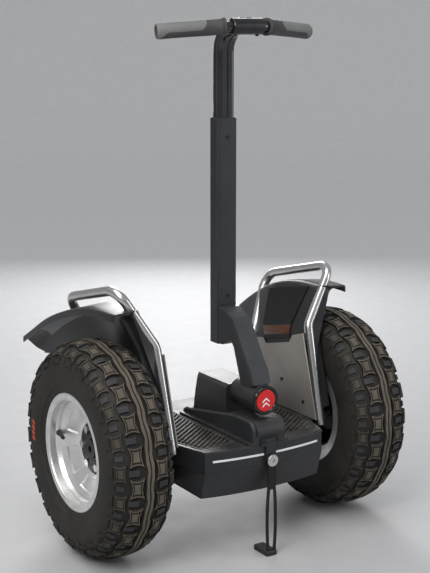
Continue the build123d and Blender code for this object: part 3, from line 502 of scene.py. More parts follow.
# ---------------------------------------------------------------- mesh drafting
class Draft:
    """Vertices and faces of one piece while it is drawn."""

    def __init__(self) -> None:
        """Start empty."""
        self.points: list[Vector] = []
        self.faces: list[tuple[int, ...]] = []
        self.marks: list[int] = []

    def grid(self, rows: Sequence[Sequence[Vector]], wrap_rows: bool = False, wrap_columns: bool = False,
             mark: Callable[[int, int], int] | int = 0) -> None:
        """Add a sheet of quads.

        Args:
            rows: equally long rows of points.
            wrap_rows: join the last row to the first.
            wrap_columns: join the last column to the first.
            mark: material number of a quad, or a function of its row and column.
        """
        start = len(self.points)
        height, width = len(rows), len(rows[0])
        for row in rows:
            self.points.extend(row)
        for i in range(height if wrap_rows else height - 1):
            for j in range(width if wrap_columns else width - 1):
                below, beside = (i + 1) % height, (j + 1) % width
                self.faces.append((
                    start + i * width + j, start + i * width + beside,
                    start + below * width + beside, start + below * width + j,
                ))
                self.marks.append(mark if isinstance(mark, int) else mark(i, j))

    def fan(self, ring: Sequence[Vector], mark: int = 0) -> None:
        """Close a ring with one flat face.

        Args:
            ring: its corners in order.
            mark: material number.
        """
        start = len(self.points)
        self.points.extend(ring)
        self.faces.append(tuple(range(start, start + len(ring))))
        self.marks.append(mark)

    def prism(self, outline: Sequence[Vector], rise: Vector, mark: int = 0) -> None:
        """Closed prism.

        Args:
            outline: the base's corners in order.
            rise: from the base to the top.
            mark: material number.
        """
        top = [corner + rise for corner in outline]
        self.grid([outline, top], wrap_columns=True, mark=mark)
        self.fan(list(reversed(outline)), mark)
        self.fan(top, mark)

    def lathe(self, profile: Sequence[Point], centre: Vector, axis: Vector, segments: int = 48,
              closed: bool = False, mark: int = 0) -> None:
        """Turn a profile round an axis.

        Args:
            profile: distance along the axis and radius of each point, in millimetres.
            centre: the axis point at distance 0.
            axis: its direction.
            segments: steps round it.
            closed: join the last profile point to the first.
            mark: material number.
        """
        along = axis.normalized()
        across = along.orthogonal().normalized()
        other = along.cross(across)
        rows = []
        for distance, radius in profile:
            middle = centre + along * distance * MM
            rows.append([
                middle + (across * math.cos(turn) + other * math.sin(turn)) * radius * MM
                for turn in (2 * math.pi * step / segments for step in range(segments))
            ])
        self.grid(rows, wrap_rows=closed, wrap_columns=True, mark=mark)

    def piece(self, name: str, materials: Sequence[bpy.types.Material], body: str,
              bevel: float = 0.0, smooth: float = 40.0, replaces: Sequence[str] = ()) -> bpy.types.Object:
        """Turn the draft into a finished piece.

        Args:
            name: the piece's name.
            materials: its materials, in the order of the marks.
            body: the CAD body that it rides on.
            bevel: width of the rounded edges, in millimetres.
            smooth: edges sharper than this angle stay sharp, in degrees.
            replaces: CAD nodes that it stands for.

        Returns:
            The object.
        """
        mesh = bpy.data.meshes.new(name)
        mesh.from_pydata([tuple(point) for point in self.points], [], self.faces)
        for material in materials:
            mesh.materials.append(material)
        mesh.polygons.foreach_set("material_index", self.marks)
        made = bpy.data.objects.new(name, mesh)
        bpy.context.scene.collection.objects.link(made)
        weld = made.modifiers.new("weld", "WELD")
        weld.merge_threshold = 0.02 * MM
        if bevel:
            rounding = made.modifiers.new("bevel", "BEVEL")
            rounding.width = bevel * MM
            rounding.segments = 2
            rounding.limit_method = "ANGLE"
            rounding.angle_limit = math.radians(35)
        apply_modifiers(made)
        recalculate(made.data)
        soften(made.data, smooth)
        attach(made, body)
        if replaces:
            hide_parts(*replaces)
        log.info("%s on %s: %d faces", name, body, len(made.data.polygons))
        return made


def apply_modifiers(made: bpy.types.Object) -> None:
    """Bake an object's modifiers into its mesh.

    Args:
        made: the object.
    """
    graph = bpy.context.evaluated_depsgraph_get()
    mesh = bpy.data.meshes.new_from_object(made.evaluated_get(graph))
    made.modifiers.clear()
    made.data = mesh


def recalculate(mesh: bpy.types.Mesh) -> None:
    """Point every face outwards.

    Args:
        mesh: the mesh to mend.
    """
    work = bmesh.new()
    work.from_mesh(mesh)
    bmesh.ops.recalc_face_normals(work, faces=work.faces)
    work.to_mesh(mesh)
    work.free()


def soften(mesh: bpy.types.Mesh, angle: float) -> None:
    """Shade smooth, apart from edges sharper than angle, in degrees."""
    mesh.polygons.foreach_set("use_smooth", [True] * len(mesh.polygons))
    mesh.set_sharp_from_angle(angle=math.radians(angle))


def curve_through(points: Sequence[Point], steps: int) -> list[Point]:
    """Smooth line through points.

    Args:
        points: the points to pass.
        steps: pieces between two points.

    Returns:
        The line's points.
    """
    padded = [points[0], *points, points[-1]]
    line = []
    for i in range(1, len(padded) - 2):
        before, start, end, after = padded[i - 1:i + 3]
        for step in range(steps):
            t = step / steps
            line.append(tuple(
                0.5 * (2 * s + (e - b) * t + (2 * b - 5 * s + 4 * e - a) * t * t
                       + (3 * s - b - 3 * e + a) * t ** 3)
                for b, s, e, a in zip(before, start, end, after)
            ))
    line.append(tuple(points[-1]))
    return line


# ---------------------------------------------------------------- wheels
@dataclass
class Wheel:
    """Knobbly tyre on a dished aluminium rim, with its valve."""

    side: Side
    datum: Datum
    palette: Palette
    pitches: int = 22
    block_height: float = 8.5
    groove_depth: float = 2.0
    rib_half_width: float = 8.5
    inner_row: float = 31.0
    outer_row: float = 66.0
    valve_turn: float = 6.0

    def __post_init__(self) -> None:
        """Lay out the carcass section once."""
        self.centre = self.datum.axle + Vector((self.side.value * self.datum.wheel_x, 0.0, 0.0))
        half = [
            (0.0, 257.6), (20.0, 256.6), (38.0, 253.2), (52.0, 248.4), (63.0, 242.0), (71.0, 233.5),
            (76.5, 222.5), (79.6, 209.0), (80.2, 203.0), (80.2, 192.0), (78.8, 177.0), (76.6, 165.5),
            (76.4, 161.0), (73.8, 158.0), (71.5, 150.0), (69.6, 145.6), (66.2, 144.6),
        ]
        self.section = curve_through(half, 3)
        self.walked = [0.0]
        for first, second in zip(self.section, self.section[1:]):
            self.walked.append(self.walked[-1] + math.dist(first, second))

    def place(self, offset: float, radius: float, turn: float) -> Vector:
        """Point of the wheel.

        Args:
            offset: distance outwards from the wheel's middle, in millimetres.
            radius: from the axle, in millimetres.
            turn: angle round the axle, in radians; 0 is to the rear and it grows upwards.

        Returns:
            The point in the row frame.
        """
        out = Vector((self.side.value * offset, radius * math.cos(turn), radius * math.sin(turn)))
        return self.centre + out * MM

    def skin(self, walk: float, along: float, height: float) -> Vector:
        """Point over the carcass.

        Args:
            walk: distance across the tread from its middle, in millimetres; positive is outboard.
            along: distance round the tread, in millimetres.
            height: distance off the carcass.

        Returns:
            The point in the row frame.
        """
        reach = min(abs(walk), self.walked[-1] - 1.0)
        index = max(i for i, value in enumerate(self.walked[:-1]) if value <= reach)
        first, second = self.section[index], self.section[index + 1]
        span = self.walked[index + 1] - self.walked[index]
        share = (reach - self.walked[index]) / span
        offset = first[0] + (second[0] - first[0]) * share
        radius = first[1] + (second[1] - first[1]) * share
        across, down = (second[0] - first[0]) / span, (second[1] - first[1]) / span
        offset -= down * height
        radius += across * height
        return self.place(math.copysign(offset, walk), radius, along / self.datum.tyre_radius * MM)

    def carcass(self, draft: Draft) -> None:
        """Closed tyre shell with its beads and side rings."""
        outer = [(o, r) for o, r in reversed(self.section)] + [(-o, r) for o, r in self.section[1:]]
        inner = [(-66.2, 128.0), (-52.0, 128.0), (-53.0, 143.0), (-70.0, 192.0), (-60.0, 234.0), (0.0, 248.0),
                 (60.0, 234.0), (70.0, 192.0), (53.0, 143.0), (52.0, 128.0), (66.2, 128.0)]
        segments = self.pitches * 6
        rows = [
            [self.place(offset, radius, 2 * math.pi * step / segments) for step in range(segments)]
            for offset, radius in outer + inner
        ]
        draft.grid(rows, wrap_rows=True, wrap_columns=True)

    def block(self, draft: Draft, walk: float, along: float, size: Point, waist: Point, height: float,
              grooved: bool, mark: int) -> None:
        """One tread block.

        Args:
            draft: receives the block.
            walk: its place across the tread.
            along: its place round the tread.
            size: half width and half length, in millimetres.
            waist: how far its sides and its ends are drawn in, as shares.
            height: off the carcass.
            grooved: whether an outline groove runs round its top.
            mark: material number of its top.
        """
        lines = [-1.06, -1.0, -0.84, -0.8, -0.64, -0.6, -0.3, 0.0, 0.3, 0.6, 0.64, 0.8, 0.84, 1.0, 1.06]
        rows = []
        for v in lines:
            row = []
            for u in lines:
                ring = max(abs(u), abs(v))
                lift = height
                if ring > 1.03:
                    lift = -1.0
                elif grooved and 0.62 < ring < 0.82:
                    lift = height - self.groove_depth
                reach_u = max(-1.0, min(1.0, u))
                reach_v = max(-1.0, min(1.0, v))
                across = u * size[0] * (1 - waist[0] * (1 - reach_v * reach_v))
                length = v * size[1] * (1 - waist[1] * (1 - reach_u * reach_u))
                row.append(self.skin(walk + across, along + length, lift))
            rows.append(row)

        def top(i: int, j: int) -> int:
            """Material of a quad: the worn top, or the dark groove and walls."""
            ring = max(abs(lines[i] + lines[i + 1]), abs(lines[j] + lines[j + 1])) / 2
            in_groove = grooved and 0.61 < ring < 0.83
            return 0 if ring > 1.0 or in_groove else mark

        draft.grid(rows, mark=top)

    def tread(self, draft: Draft) -> None:
        """Centre rib, bow-tie blocks, slate pads and shoulder blocks, all round the tyre."""
        round_length = 2 * math.pi * self.datum.tyre_radius / MM
        pitch = round_length / self.pitches
        lines = [(-1.3, -1.0), (-1.0, 1.0), (-0.2, 1.0), (-0.12, 0.75), (0.12, 0.75), (0.2, 1.0), (1.0, 1.0),
                 (1.3, -1.0)]
        steps = self.pitches * 8
        rows = []
        for step in range(steps):
            along = round_length * step / steps
            sway = 1.6 * math.sin(2 * math.pi * along / pitch)
            width = self.rib_half_width * (1 + 0.12 * math.cos(4 * math.pi * along / pitch))
            rows.append([
                self.skin(u * width + sway, along, self.block_height * lift if lift > 0 else -1.0)
                for u, lift in lines
            ])
        draft.grid(rows, wrap_rows=True, mark=lambda i, j: 1 if j in (1, 5) else 0)
        for index in range(self.pitches):
            for sign in (-1, 1):
                here = pitch * (index + (0.25 if sign > 0 else 0.75))
                self.block(draft, sign * self.inner_row, here, (17.0, 25.0), (0.36, 0.24),
                           self.block_height, True, 1)
                between = here + pitch / 2
                self.block(draft, sign * (self.inner_row + 6.0), between, (12.0, 8.0), (0.0, 0.1), 5.2, False, 2)
                self.block(draft, sign * self.outer_row, between, (13.5, 22.0), (0.36, 0.24), 6.6, True, 3)
                self.block(draft, sign * (self.outer_row + 2.0), here, (9.0, 7.0), (0.0, 0.1), 3.8, False, 2)
                self.block(draft, sign * (self.outer_row + 25.0), between, (8.0, 16.0), (0.4, 0.3), 2.8, False, 0)
                self.block(draft, sign * (self.outer_row + 22.0), here, (6.0, 6.0), (0.0, 0.1), 2.2, False, 0)

    def side_mark(self) -> None:
        """Four slanted painted dashes on the outboard sidewall, a plain size mark."""
        draft = Draft()
        for index in range(4):
            turn = math.radians(-6.2 + 4.1 * index)
            corners = []
            for step, radius in ((0.0, 186.0), (2.6, 186.0), (4.2, 199.0), (1.6, 199.0)):
                angle = turn + math.radians(step)
                corners.append(self.place(79.6, radius, angle))
            draft.prism(corners, Vector((self.side.value * 1.4 * MM, 0.0, 0.0)))
        draft.piece(f"{self.side.word}_tyre_mark", [self.palette.extra["mark_red"]], f"{self.side.word}_wheel",
                    bevel=0.5)

    def rim(self) -> None:
        """Dished rim: rolled flange, two steps and a cone with six shallow pockets; the back of the disc and the
        inboard barrel carry the black casting finish as painted shade.
        """
        front = [
            (66.3, 127.2), (66.3, 143.0), (67.6, 144.4), (69.4, 144.2), (70.2, 142.6), (69.4, 134.0),
            (68.6, 131.0), (66.0, 129.6), (52.0, 127.8), (50.2, 127.0), (49.4, 124.6), (47.6, 123.4),
            (42.2, 121.8), (40.4, 120.8), (39.2, 117.8), (37.0, 114.6), (33.0, 109.6),
        ]
        cone = [(31.0, 106.2), (29.4, 103.4), (14.6, 77.6), (13.0, 74.8)]
        disc = [(9.0, 69.0), (6.6, 66.5), (5.6, 64.6), (5.6, 33.0), (-0.6, 33.0), (-0.6, 66.5),
                (2.6, 71.0)]
        barrel = [(20.4, 102.0), (-33.0, 102.0), (-42.0, 123.6), (-69.4, 123.6), (-69.4, 142.8), (-66.3, 142.8),
                  (-66.3, 127.2), (-46.0, 127.2), (-38.0, 106.2), (22.4, 106.2), (42.0, 127.2)]
        segments = 180
        inside = len(front + cone + disc)
        rows = []
        for offset, radius in front + cone + disc + barrel:
            row = []
            for step in range(segments):
                turn = 2 * math.pi * step / segments
                phase = (turn * 6 / (2 * math.pi)) % 1.0
                sunk = 4.2 if (offset, radius) in cone[1:3] and 0.2 < phase < 0.8 else 0.0
                row.append(self.place(offset - sunk * 0.75, radius + sunk * 0.5, turn))
            rows.append(row)
        draft = Draft()
        # Painted shade: the rows of the disc's back and the inboard barrel take the black casting finish to stand
        # for the shade inside the tyre.
        dark = range(inside - 3, inside + 2)
        draft.grid(rows, wrap_rows=True, wrap_columns=True, mark=lambda i, j: int(i in dark))
        word = self.side.word
        skins = [self.palette.turned, self.palette.slots["black_casting"]]
        draft.piece(f"{word}_dished_rim", skins, f"{word}_wheel",
                    smooth=28.0, replaces=[f"{word}_rim"])

    def valve(self) -> None:
        """Rubber valve stem with its cap, pointing to the hub from the dish."""
        draft = Draft()
        turn = math.radians(self.valve_turn)
        foot = self.place(43.0, 121.5, turn)
        tip = self.place(49.0, 84.0, turn)
        profile = [(-2.0, 0.01), (-2.0, 8.0), (2.0, 7.6), (6.0, 5.6), (20.0, 4.4), (21.0, 5.0), (33.0, 4.8),
                   (36.0, 3.6), (36.0, 0.01)]
        draft.lathe(profile, foot, tip - foot, segments=20)
        draft.piece(f"{self.side.word}_valve_stem", [self.palette.slots["soft_rubber"]],
                    f"{self.side.word}_wheel")

    def build(self) -> None:
        """Make the tyre, its mark, the rim and the valve."""
        draft = Draft()
        self.carcass(draft)
        self.tread(draft)
        skins = [self.palette.slots["tyre_rubber"], self.palette.extra["dusty_tread"],
                 self.palette.extra["slate_tread"], self.palette.extra["shoulder_tread"]]
        word = self.side.word
        draft.piece(f"{word}_knobbly_tyre", skins, f"{word}_wheel", smooth=32.0,
                    replaces=[f"{word}_tyre"])
        self.side_mark()
        self.rim()
        self.valve()


# ---------------------------------------------------------------- platform
@dataclass
class FootMat:
    """Rubber foot mat with slanted ribs, inside its CAD outline."""

    side: Side
    palette: Palette
    rib_pitch: float = 12.0
    rib_width: float = 5.6
    rib_height: float = 2.4
    border: float = 7.0
    corner: float = 12.0
    slant: float = 0.8
    cut_length: float = 78.0
    cut_width: float = 21.0
    shortest_rib: float = 6.0

    def outline(self, low: Vector, high: Vector, inset: float) -> list[Point]:
        """Mat outline seen from above, in metres, with its outer front corner cut off.

        Args:
            low: the CAD mat's lowest corner.
            high: its highest corner.
            inset: how far inside, in metres.

        Returns:
            Corners as X and Y, with X measured from the machine's middle.
        """
        inner, outer = sorted((abs(low.x), abs(high.x)))
        front, rear = low.y + inset, high.y - inset
        inner, outer = inner + inset, outer - inset
        corners = [
            (inner, front), (outer - self.cut_width * MM, front), (outer, front + self.cut_length * MM),
            (outer, rear), (inner, rear),
        ]
        rounded = []
        size = max(self.corner * MM - inset, 2 * MM)
        for index, corner in enumerate(corners):
            before, after = Vector(corners[index - 1]), Vector(corners[(index + 1) % len(corners)])
            here = Vector(corner)
            start = here + (before - here).normalized() * size
            end = here + (after - here).normalized() * size
            for step in range(7):
                t = step / 6
                rounded.append(tuple(start * (1 - t) ** 2 + here * 2 * t * (1 - t) + end * t * t))
        return rounded

    def build(self) -> None:
        """Make the pad and its ribs as one piece."""
        word = self.side.word
        low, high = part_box(f"{word}_mat")
        base_top = high.z - self.rib_height * MM
        sign = self.side.value
        draft = Draft()
        ring = self.outline(low, high, 0.0)
        rows = []
        for inset, z in ((0.0, low.z), (0.0, base_top - 1.0 * MM), (1.0 * MM, base_top), (4.0 * MM, base_top),
                         (5.0 * MM, base_top - 1.0 * MM)):
            rows.append([Vector((sign * x, y, z)) for x, y in self.outline(low, high, inset)])
        draft.grid(rows, wrap_columns=True)
        draft.fan([Vector((sign * x, y, low.z)) for x, y in ring])
        draft.fan(rows[-1])
        inside = self.outline(low, high, self.border * MM)
        self.ribs(draft, inside, base_top - 1.2 * MM, high.z)
        draft.piece(f"{word}_ribbed_mat", [self.palette.slots["mat_rubber"]], f"{word}_mat_pad",
                    bevel=0.4, replaces=[f"{word}_mat"])

    def ribs(self, draft: Draft, inside: Sequence[Point], bottom: float, top: float) -> None:
        """Add slanted ribs, parallel on both mats and cut off at the border.

        Args:
            draft: receives the ribs.
            inside: outline that they stay in.
            bottom: their foot's height.
            top: their top's height.
        """
        sign = self.side.value
        direction = Vector((1.0, sign * self.slant)).normalized()
        normal = Vector((-direction.y, direction.x))
        reach = [Vector(corner).dot(normal) for corner in inside]
        level = min(reach) + self.rib_pitch * MM
        while level < max(reach) - self.rib_width * MM:
            near = self.span(inside, direction, normal, level)
            far = self.span(inside, direction, normal, level + self.rib_width * MM)
            base = level
            level += self.rib_pitch * MM
            if near is None or far is None:
                continue
            if min(near[1] - near[0], far[1] - far[0]) < self.shortest_rib * MM:
                continue
            start, end = max(near[0], far[0]), min(near[1], far[1])
            width = self.rib_width * MM
            corners = []
            for along, off in ((start, 0.0), (end, 0.0), (end, width), (start, width)):
                flat = direction * along + normal * (base + off)
                corners.append(Vector((sign * flat.x, flat.y, bottom)))
            draft.prism(corners, Vector((0.0, 0.0, top - bottom)))

    @staticmethod
    def span(inside: Sequence[Point], direction: Vector, normal: Vector, level: float) -> Point | None:
        """Where a slanted line enters and leaves an outline.

        Args:
            inside: the outline.
            direction: the line's direction.
            normal: its normal.
            level: its distance from the middle along the normal.

        Returns:
            The two distances along the line, or None if it misses.
        """
        hits = []
        for index, corner in enumerate(inside):
            first, second = Vector(inside[index - 1]), Vector(corner)
            before, after = first.dot(normal) - level, second.dot(normal) - level
            if before * after < 0:
                crossing = first + (second - first) * (before / (before - after))
                hits.append(crossing.dot(direction))
        return (min(hits), max(hits)) if len(hits) > 1 else None


# ---------------------------------------------------------------- fenders
@dataclass
class Fender:
    """Moulded fender shell with its rolled lip, underside patch and front spine."""

    side: Side
    datum: Datum
    palette: Palette
    wall: float = 3.4
    body: float = 27.0
    lip_height: float = 18.0
    tail_y: float = 399.6

    def __post_init__(self) -> None:
        """Lay out the stations: y, floor, foot x and z, ridge x and z, lip x and z, in millimetres."""
        self.stations = curve_through([
            (-165.0, 18.0, 207.0, 173.0, 252.0, 300.0, 284.0, 286.0),
            (-137.0, 18.0, 207.0, 173.0, 258.0, 330.0, 306.0, 313.0),
            (-122.0, 18.0, 207.0, 173.0, 260.0, 341.0, 321.0, 332.0),
            (-98.0, 18.0, 207.0, 173.0, 262.0, 347.0, 335.0, 341.5),
            (-60.0, 18.0, 207.0, 173.0, 262.0, 348.0, 344.0, 343.0),
            (30.0, 18.0, 207.0, 173.0, 262.0, 346.0, 350.0, 339.5),
            (121.0, 30.0, 209.0, 173.0, 259.0, 329.0, 354.0, 321.0),
            (242.0, 150.0, 240.0, 168.0, 277.0, 280.0, 356.0, 280.0),
            (346.0, 150.0, 256.0, 160.0, 286.0, 218.0, 356.0, 228.0),
            (400.0, 144.0, 268.0, 151.0, 292.0, 172.0, 356.0, 200.0),
        ], 10)

    def values(self, y: float) -> tuple[float, ...]:
        """Section sizes between the two nearest stations.

        Args:
            y: distance behind the axle, in millimetres.

        Returns:
            The eight sizes of a station.
        """
        y = min(max(y, self.stations[0][0]), self.stations[-1][0])
        for first, second in zip(self.stations, self.stations[1:]):
            if y <= second[0]:
                share = (y - first[0]) / (second[0] - first[0])
                return tuple(a + (b - a) * share for a, b in zip(first, second))
        return self.stations[-1]

    def section(self, y: float) -> list[Point]:
        """Closed section at y: outer skin from foot to lip, then the inner skin back.

        Args:
            y: distance behind the axle, in millimetres.

        Returns:
            Points as x and z in millimetres.
        """
        _, floor, foot_x, foot_z, ridge_x, ridge_z, lip_x, lip_z = self.values(y)
        wall = self.wall
        outer = [(foot_x, floor), (foot_x, foot_z), (ridge_x, ridge_z), (lip_x, lip_z),
                 (lip_x, lip_z - self.lip_height)]
        inner = [(lip_x - wall, lip_z - self.lip_height), (lip_x - wall - 1.0, lip_z - wall),
                 (ridge_x + self.body, ridge_z - wall - 6.0), (foot_x + self.body, foot_z - 4.0),
                 (foot_x + self.body, floor)]
        radii = (0.0, 30.0, 16.0, 7.0, 0.0, 0.0, 5.0, 13.0, 27.0, 0.0)
        corners = outer + inner
        points = []
        for index, corner in enumerate(corners):
            if radii[index] == 0.0:
                points.append(corner)
                continue
            here = Vector(corner)
            before, after = Vector(corners[index - 1]), Vector(corners[index + 1])
            reach = min(radii[index], (before - here).length * 0.45, (after - here).length * 0.45)
            start = here + (before - here).normalized() * reach
            end = here + (after - here).normalized() * reach
            for step in range(6):
                t = step / 5
                points.append(tuple(start * (1 - t) ** 2 + here * 2 * t * (1 - t) + end * t * t))
        return points

    @staticmethod
    def front_y(x: float, z: float) -> float:
        """Where the shell begins at a point of its section.

        Args:
            x: the point's distance from the machine's middle, in millimetres.
            z: its height over the axle, in millimetres.

        Returns:
            The front edge's distance behind the axle.
        """
        if z < 236.0:
            lean = -143.0 + max(z - 40.0, 0.0) * 59.0 / 196.0
        else:
            lean = -84.0
        plan = -60.0 - max(x - 264.0, 0.0) * 68.0 / 42.0
        return max(lean, plan) if z > 236.0 else lean

    def point(self, x: float, y: float, z: float) -> Vector:
        """Point on this fender's side, in millimetres from the axle line."""
        return self.datum.at(self.side.value * x, y, z)

    def shell(self) -> None:
        """The skin from its front edge to its tail."""
        count = len(self.section(0.0))
        steps = 56
        starts = []
        for index in range(count):
            y = -60.0
            for _ in range(6):
                y = 0.5 * y + 0.5 * self.front_y(*self.section(y)[index])
            starts.append(y)
        rows = []
        for step in range(steps + 1):
            share = step / steps
            row = []
            for index in range(count):
                y = starts[index] + (self.tail_y - starts[index]) * share
                x, z = self.section(y)[index]
                row.append(self.point(x, y, z))
            rows.append(row)
        draft = Draft()
        inner_start = count // 2 + 3
        patch = range(int(steps * 0.5), int(steps * 0.86))
        patch_columns = range(inner_start, inner_start + 9)
        draft.grid(rows, wrap_columns=True, mark=lambda i, j: int(i in patch and j in patch_columns))
        for row in (rows[0], rows[-1]):
            draft.grid([row[:count // 2], [row[count - 1 - k] for k in range(count // 2)]])
        word = self.side.word
        skins = [self.palette.slots["fender_plastic"], self.palette.extra["grey_panel"]]
        draft.piece(f"{word}_fender_shell", skins, "powerbase", smooth=35.0,
                    replaces=[f"{word}_fender"])

    def spine(self) -> None:
        """Rounded upright behind the front run of the handle tube."""
        path = [(242.0, -122.0, 38.0), (242.0, -112.0, 74.0), (244.0, -80.0, 182.0), (248.0, -62.0, 236.0),
                (266.0, -54.0, 282.0), (284.0, -50.0, 318.0), (288.0, -46.0, 330.0)]
        line = [Vector(point) for point in curve_through(path, 6)]
        outline = []
        for corner in range(4):
            for step in range(5):
                turn = math.radians(90 * corner + 22.5 * step)
                outline.append((
                    math.copysign(11.0, math.cos(turn + 0.01)) + 7.0 * math.cos(turn),
                    math.copysign(5.0, math.sin(turn + 0.01)) + 7.0 * math.sin(turn),
                ))
        rows = []
        for index, middle in enumerate(line):
            along = (line[min(index + 1, len(line) - 1)] - line[max(index - 1, 0)]).normalized()
            across = Vector((1.0, 0.0, 0.0))
            across = (across - along * across.dot(along)).normalized()
            deep = along.cross(across)
            swell = 0.55 if index == 0 else 1.0
            rows.append([self.point(*(middle + across * a * swell + deep * b * swell)) for a, b in outline])
        draft = Draft()
        draft.grid(rows, wrap_columns=True)
        draft.fan(rows[0])
        draft.fan(rows[-1])
        draft.piece(f"{self.side.word}_fender_spine", [self.palette.slots["fender_plastic"]], "powerbase")

    def build(self) -> None:
        """Make the shell and its spine."""
        self.shell()
        self.spine()


# ---------------------------------------------------------------- handlebar and badge
@dataclass
class Grip:
    """Rubber grip with a ringed collar, a paler overmoulded tongue and a hollowed end."""

    side: Side
    datum: Datum
    palette: Palette
    start: tuple[float, float, float] = (50.0, -124.0, 999.5)
    end: tuple[float, float, float] = (214.0, -72.7, 987.7)

    def build(self) -> None:
        """Make the grip body and its tongue."""
        sign = self.side.value
        foot = self.datum.at(sign * self.start[0], *self.start[1:])
        tip = self.datum.at(sign * self.end[0], *self.end[1:])
        axis = tip - foot
        length = axis.length / MM
        body = [(7.0, 13.0), (7.0, 20.0), (8.0, 21.0), (11.0, 21.0), (12.0, 20.0), (12.6, 18.8), (14.0, 18.6),
                (15.0, 19.6), (18.0, 19.6), (19.0, 18.4), (length * 0.3, 18.2), (length * 0.6, 17.8),
                (length - 24.0, 18.0), (length - 10.0, 18.5), (length - 3.5, 17.6), (length - 0.8, 15.2),
                (length - 0.6, 13.4), (length - 4.5, 11.6), (length - 6.0, 0.01)]
        draft = Draft()
        draft.lathe([(7.0, 13.0)] + body, foot, axis, segments=48)
        word = self.side.word
        draft.piece(f"{word}_grip_body", [self.palette.slots["grip_rubber"]], "bar_post",
                    smooth=50.0, replaces=[f"{word}_grip"])
        self.tongue(foot, axis, length)

    def tongue(self, foot: Vector, axis: Vector, length: float) -> None:
        """Pale skin that covers the end and runs inwards along the top and front.

        Args:
            foot: the axis point at distance 0.
            axis: the grip's direction.
            length: its length in millimetres.
        """
        along = axis.normalized()
        up = Vector((0.0, -0.55, 0.83))
        up = (up - along * up.dot(along)).normalized()
        beside = along.cross(up)
        rows = []
        for step in range(25):
            share = step / 24
            distance = length * 0.3 + (length - 1.4 - length * 0.3) * share
            spread = math.radians(74.0) * min(1.0, math.sqrt(share * 9.0)) + math.radians(104.0) * max(
                0.0, (share - 0.78) / 0.22) ** 1.5
            radius = 18.9 if distance < length - 5.0 else 18.9 - (distance - length + 5.0) * 0.55
            row = []
            for column in range(19):
                turn = spread * (column / 9 - 1)
                lift = radius if 0 < column < 18 else radius - 1.2
                offset = up * math.cos(turn) + beside * math.sin(turn)
                row.append(foot + along * distance * MM + offset * lift * MM)
            rows.append(row)
        draft = Draft()
        draft.grid(rows)
        inner = [
            [point - (point - foot - along * (point - foot).dot(along)) * 0.08 for point in row]
            for row in rows
        ]
        draft.grid(inner)
        rim = [rows[0], inner[0]]
        draft.grid(rim)
        draft.grid([rows[-1], inner[-1]])
        draft.grid([[row[0] for row in rows], [row[0] for row in inner]])
        draft.grid([[row[-1] for row in rows], [row[-1] for row in inner]])
        draft.piece(f"{self.side.word}_grip_tongue", [self.palette.extra["grip_tongue"]], "bar_post",
                    smooth=50.0)


@dataclass
class LeanBadge:
    """Plain white double chevron raised on the red dome of the lean hub."""

    palette: Palette
    reach: float = 10.0
    drop: float = 8.0
    stroke: float = 4.2

    def build(self) -> None:
        """Make the two chevrons."""
        low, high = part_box("lean_badge")
        middle = (low + high) / 2
        draft = Draft()
        for level in (-8.0, 3.0):
            outline = [(-self.reach, -self.drop), (0.0, 0.0), (self.reach, -self.drop),
                       (self.reach, -self.drop + self.stroke), (0.0, self.stroke),
                       (-self.reach, -self.drop + self.stroke)]
            base = [
                Vector((middle.x + x * MM, low.y + 0.2 * MM, middle.z + (z + level) * MM))
                for x, z in outline
            ]
            draft.prism(base, Vector((0.0, -0.7 * MM, 0.0)))
        draft.piece("badge_chevrons", [self.palette.extra["symbol_white"]], "lean_frame",
                    bevel=0.2)


@dataclass
class BadgePanel:
    """Amber film low on the glossy panel of a fender flank."""

    side: Side
    datum: Datum
    palette: Palette
    lean: float = 0.316
    flank_x: float = 204.2
    flank_foot: float = 173.0

    def place(self, y: float, z: float, lift: float) -> Vector:
        """Point on the leaning panel, in millimetres from the axle line."""
        x = self.flank_x + self.lean * (z - self.flank_foot) - lift
        return self.datum.at(self.side.value * x, y, z)

    def build(self) -> None:
        """Make the film."""
        draft = Draft()
        corners = [(-2.0, 236.0), (114.0, 213.0), (97.0, 192.0), (-5.0, 213.0)]
        base = [self.place(y, z, 0.2) for y, z in corners]
        rise = self.place(0.0, 200.0, 0.9) - self.place(0.0, 200.0, 0.2)
        draft.prism(base, rise)
        draft.piece(f"{self.side.word}_badge_film", [self.palette.extra["amber_film"]], "powerbase",
                    bevel=0.2)


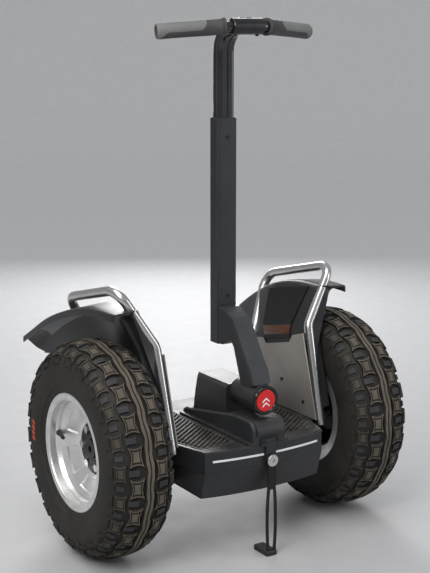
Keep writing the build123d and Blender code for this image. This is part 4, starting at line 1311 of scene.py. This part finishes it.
# ---------------------------------------------------------------- studio
@dataclass
class Studio:
    """Pale floor, soft lights and the camera."""

    palette: Palette
    floor_radius: float = 8000.0
    curl_radius: float = 6000.0
    eye: tuple[float, float, float] = (-1.6764, -2.71295, 1.2525)
    turn: float = -32.23
    tilt: float = 78.72
    lens: float = 80.06

    def floor(self) -> None:
        """Round floor that curves up far behind the machine on every side."""
        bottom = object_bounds()[0].z
        profile = [(0.0, 0.001), (0.0, self.floor_radius)]
        for step in range(1, 13):
            turn = math.radians(step * 7.0)
            reach = self.floor_radius + self.curl_radius * math.sin(turn)
            profile.append((self.curl_radius * (1 - math.cos(turn)), reach))
        draft = Draft()
        draft.lathe(profile, Vector((0.0, 0.0, bottom)), Vector((0.0, 0.0, 1.0)), segments=96)
        mesh = bpy.data.meshes.new("floor")
        mesh.from_pydata([tuple(point) for point in draft.points], [], draft.faces)
        mesh.materials.append(self.palette.extra["pale_floor"])
        soften(mesh, 60.0)
        made = bpy.data.objects.new("floor", mesh)
        bpy.context.scene.collection.objects.link(made)
        made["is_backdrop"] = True

    @staticmethod
    def softbox(name: str, place: tuple, target: tuple, size: Point, power: float, tint: Colour) -> None:
        """Area light.

        Args:
            name: its name.
            place: its position.
            target: what it looks at.
            size: width and height.
            power: in watts.
            tint: its colour.
        """
        data = bpy.data.lights.new(name, "AREA")
        data.shape = "RECTANGLE"
        data.size, data.size_y = size
        data.energy = power
        data.color = tint
        lamp = bpy.data.objects.new(name, data)
        lamp.location = place
        lamp.rotation_euler = (Vector(target) - Vector(place)).to_track_quat("-Z", "Y").to_euler()
        bpy.context.scene.collection.objects.link(lamp)

    def build(self) -> None:
        """Set the stage."""
        self.floor()
        self.softbox("key", (-2.8, -2.0, 2.8), (0.0, 0.0, 0.4), (1.6, 1.6), 75.0, (1.0, 0.99, 0.97))
        self.softbox("fill", (2.6, -2.6, 1.6), (0.0, 0.0, 0.5), (1.0, 2.2), 22.0, (0.97, 0.98, 1.0))
        self.softbox("back", (1.6, 2.8, 1.8), (0.0, 0.0, 0.5), (1.0, 2.2), 60.0, (1.0, 1.0, 1.0))
        sky = bpy.data.lights.new("sky", "SUN")
        sky.energy = 1.3
        sky.angle = math.radians(50.0)
        dome = bpy.data.objects.new("sky", sky)
        dome.rotation_euler = (math.radians(12.0), math.radians(-14.0), 0.0)
        bpy.context.scene.collection.objects.link(dome)
        bpy.context.scene.view_settings.view_transform = "Standard"
        world = bpy.data.worlds.new("studio")
        world.use_nodes = True
        background = world.node_tree.nodes["Background"]
        background.inputs["Color"].default_value = (0.8, 0.82, 0.85, 1.0)
        background.inputs["Strength"].default_value = 0.5
        bpy.context.scene.world = world
        data = bpy.data.cameras.new("camera")
        data.lens = self.lens
        camera = bpy.data.objects.new("camera", data)
        camera.location = self.eye
        camera.rotation_euler = (math.radians(self.tilt), 0.0, math.radians(self.turn))
        bpy.context.scene.collection.objects.link(camera)
        bpy.context.scene.camera = camera


def main() -> None:
    """Build the machine round its frame."""
    logging.basicConfig(level=logging.INFO, format="%(message)s")
    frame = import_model()
    datum = Datum.read()
    palette = Palette(datum)
    palette.dress_nodes(frame)
    for side in Side:
        Wheel(side, datum, palette).build()
        FootMat(side, palette).build()
        Fender(side, datum, palette).build()
        Grip(side, datum, palette).build()
        BadgePanel(side, datum, palette).build()
    LeanBadge(palette).build()
    Studio(palette).build()


if __name__ == "__main__":
    main()
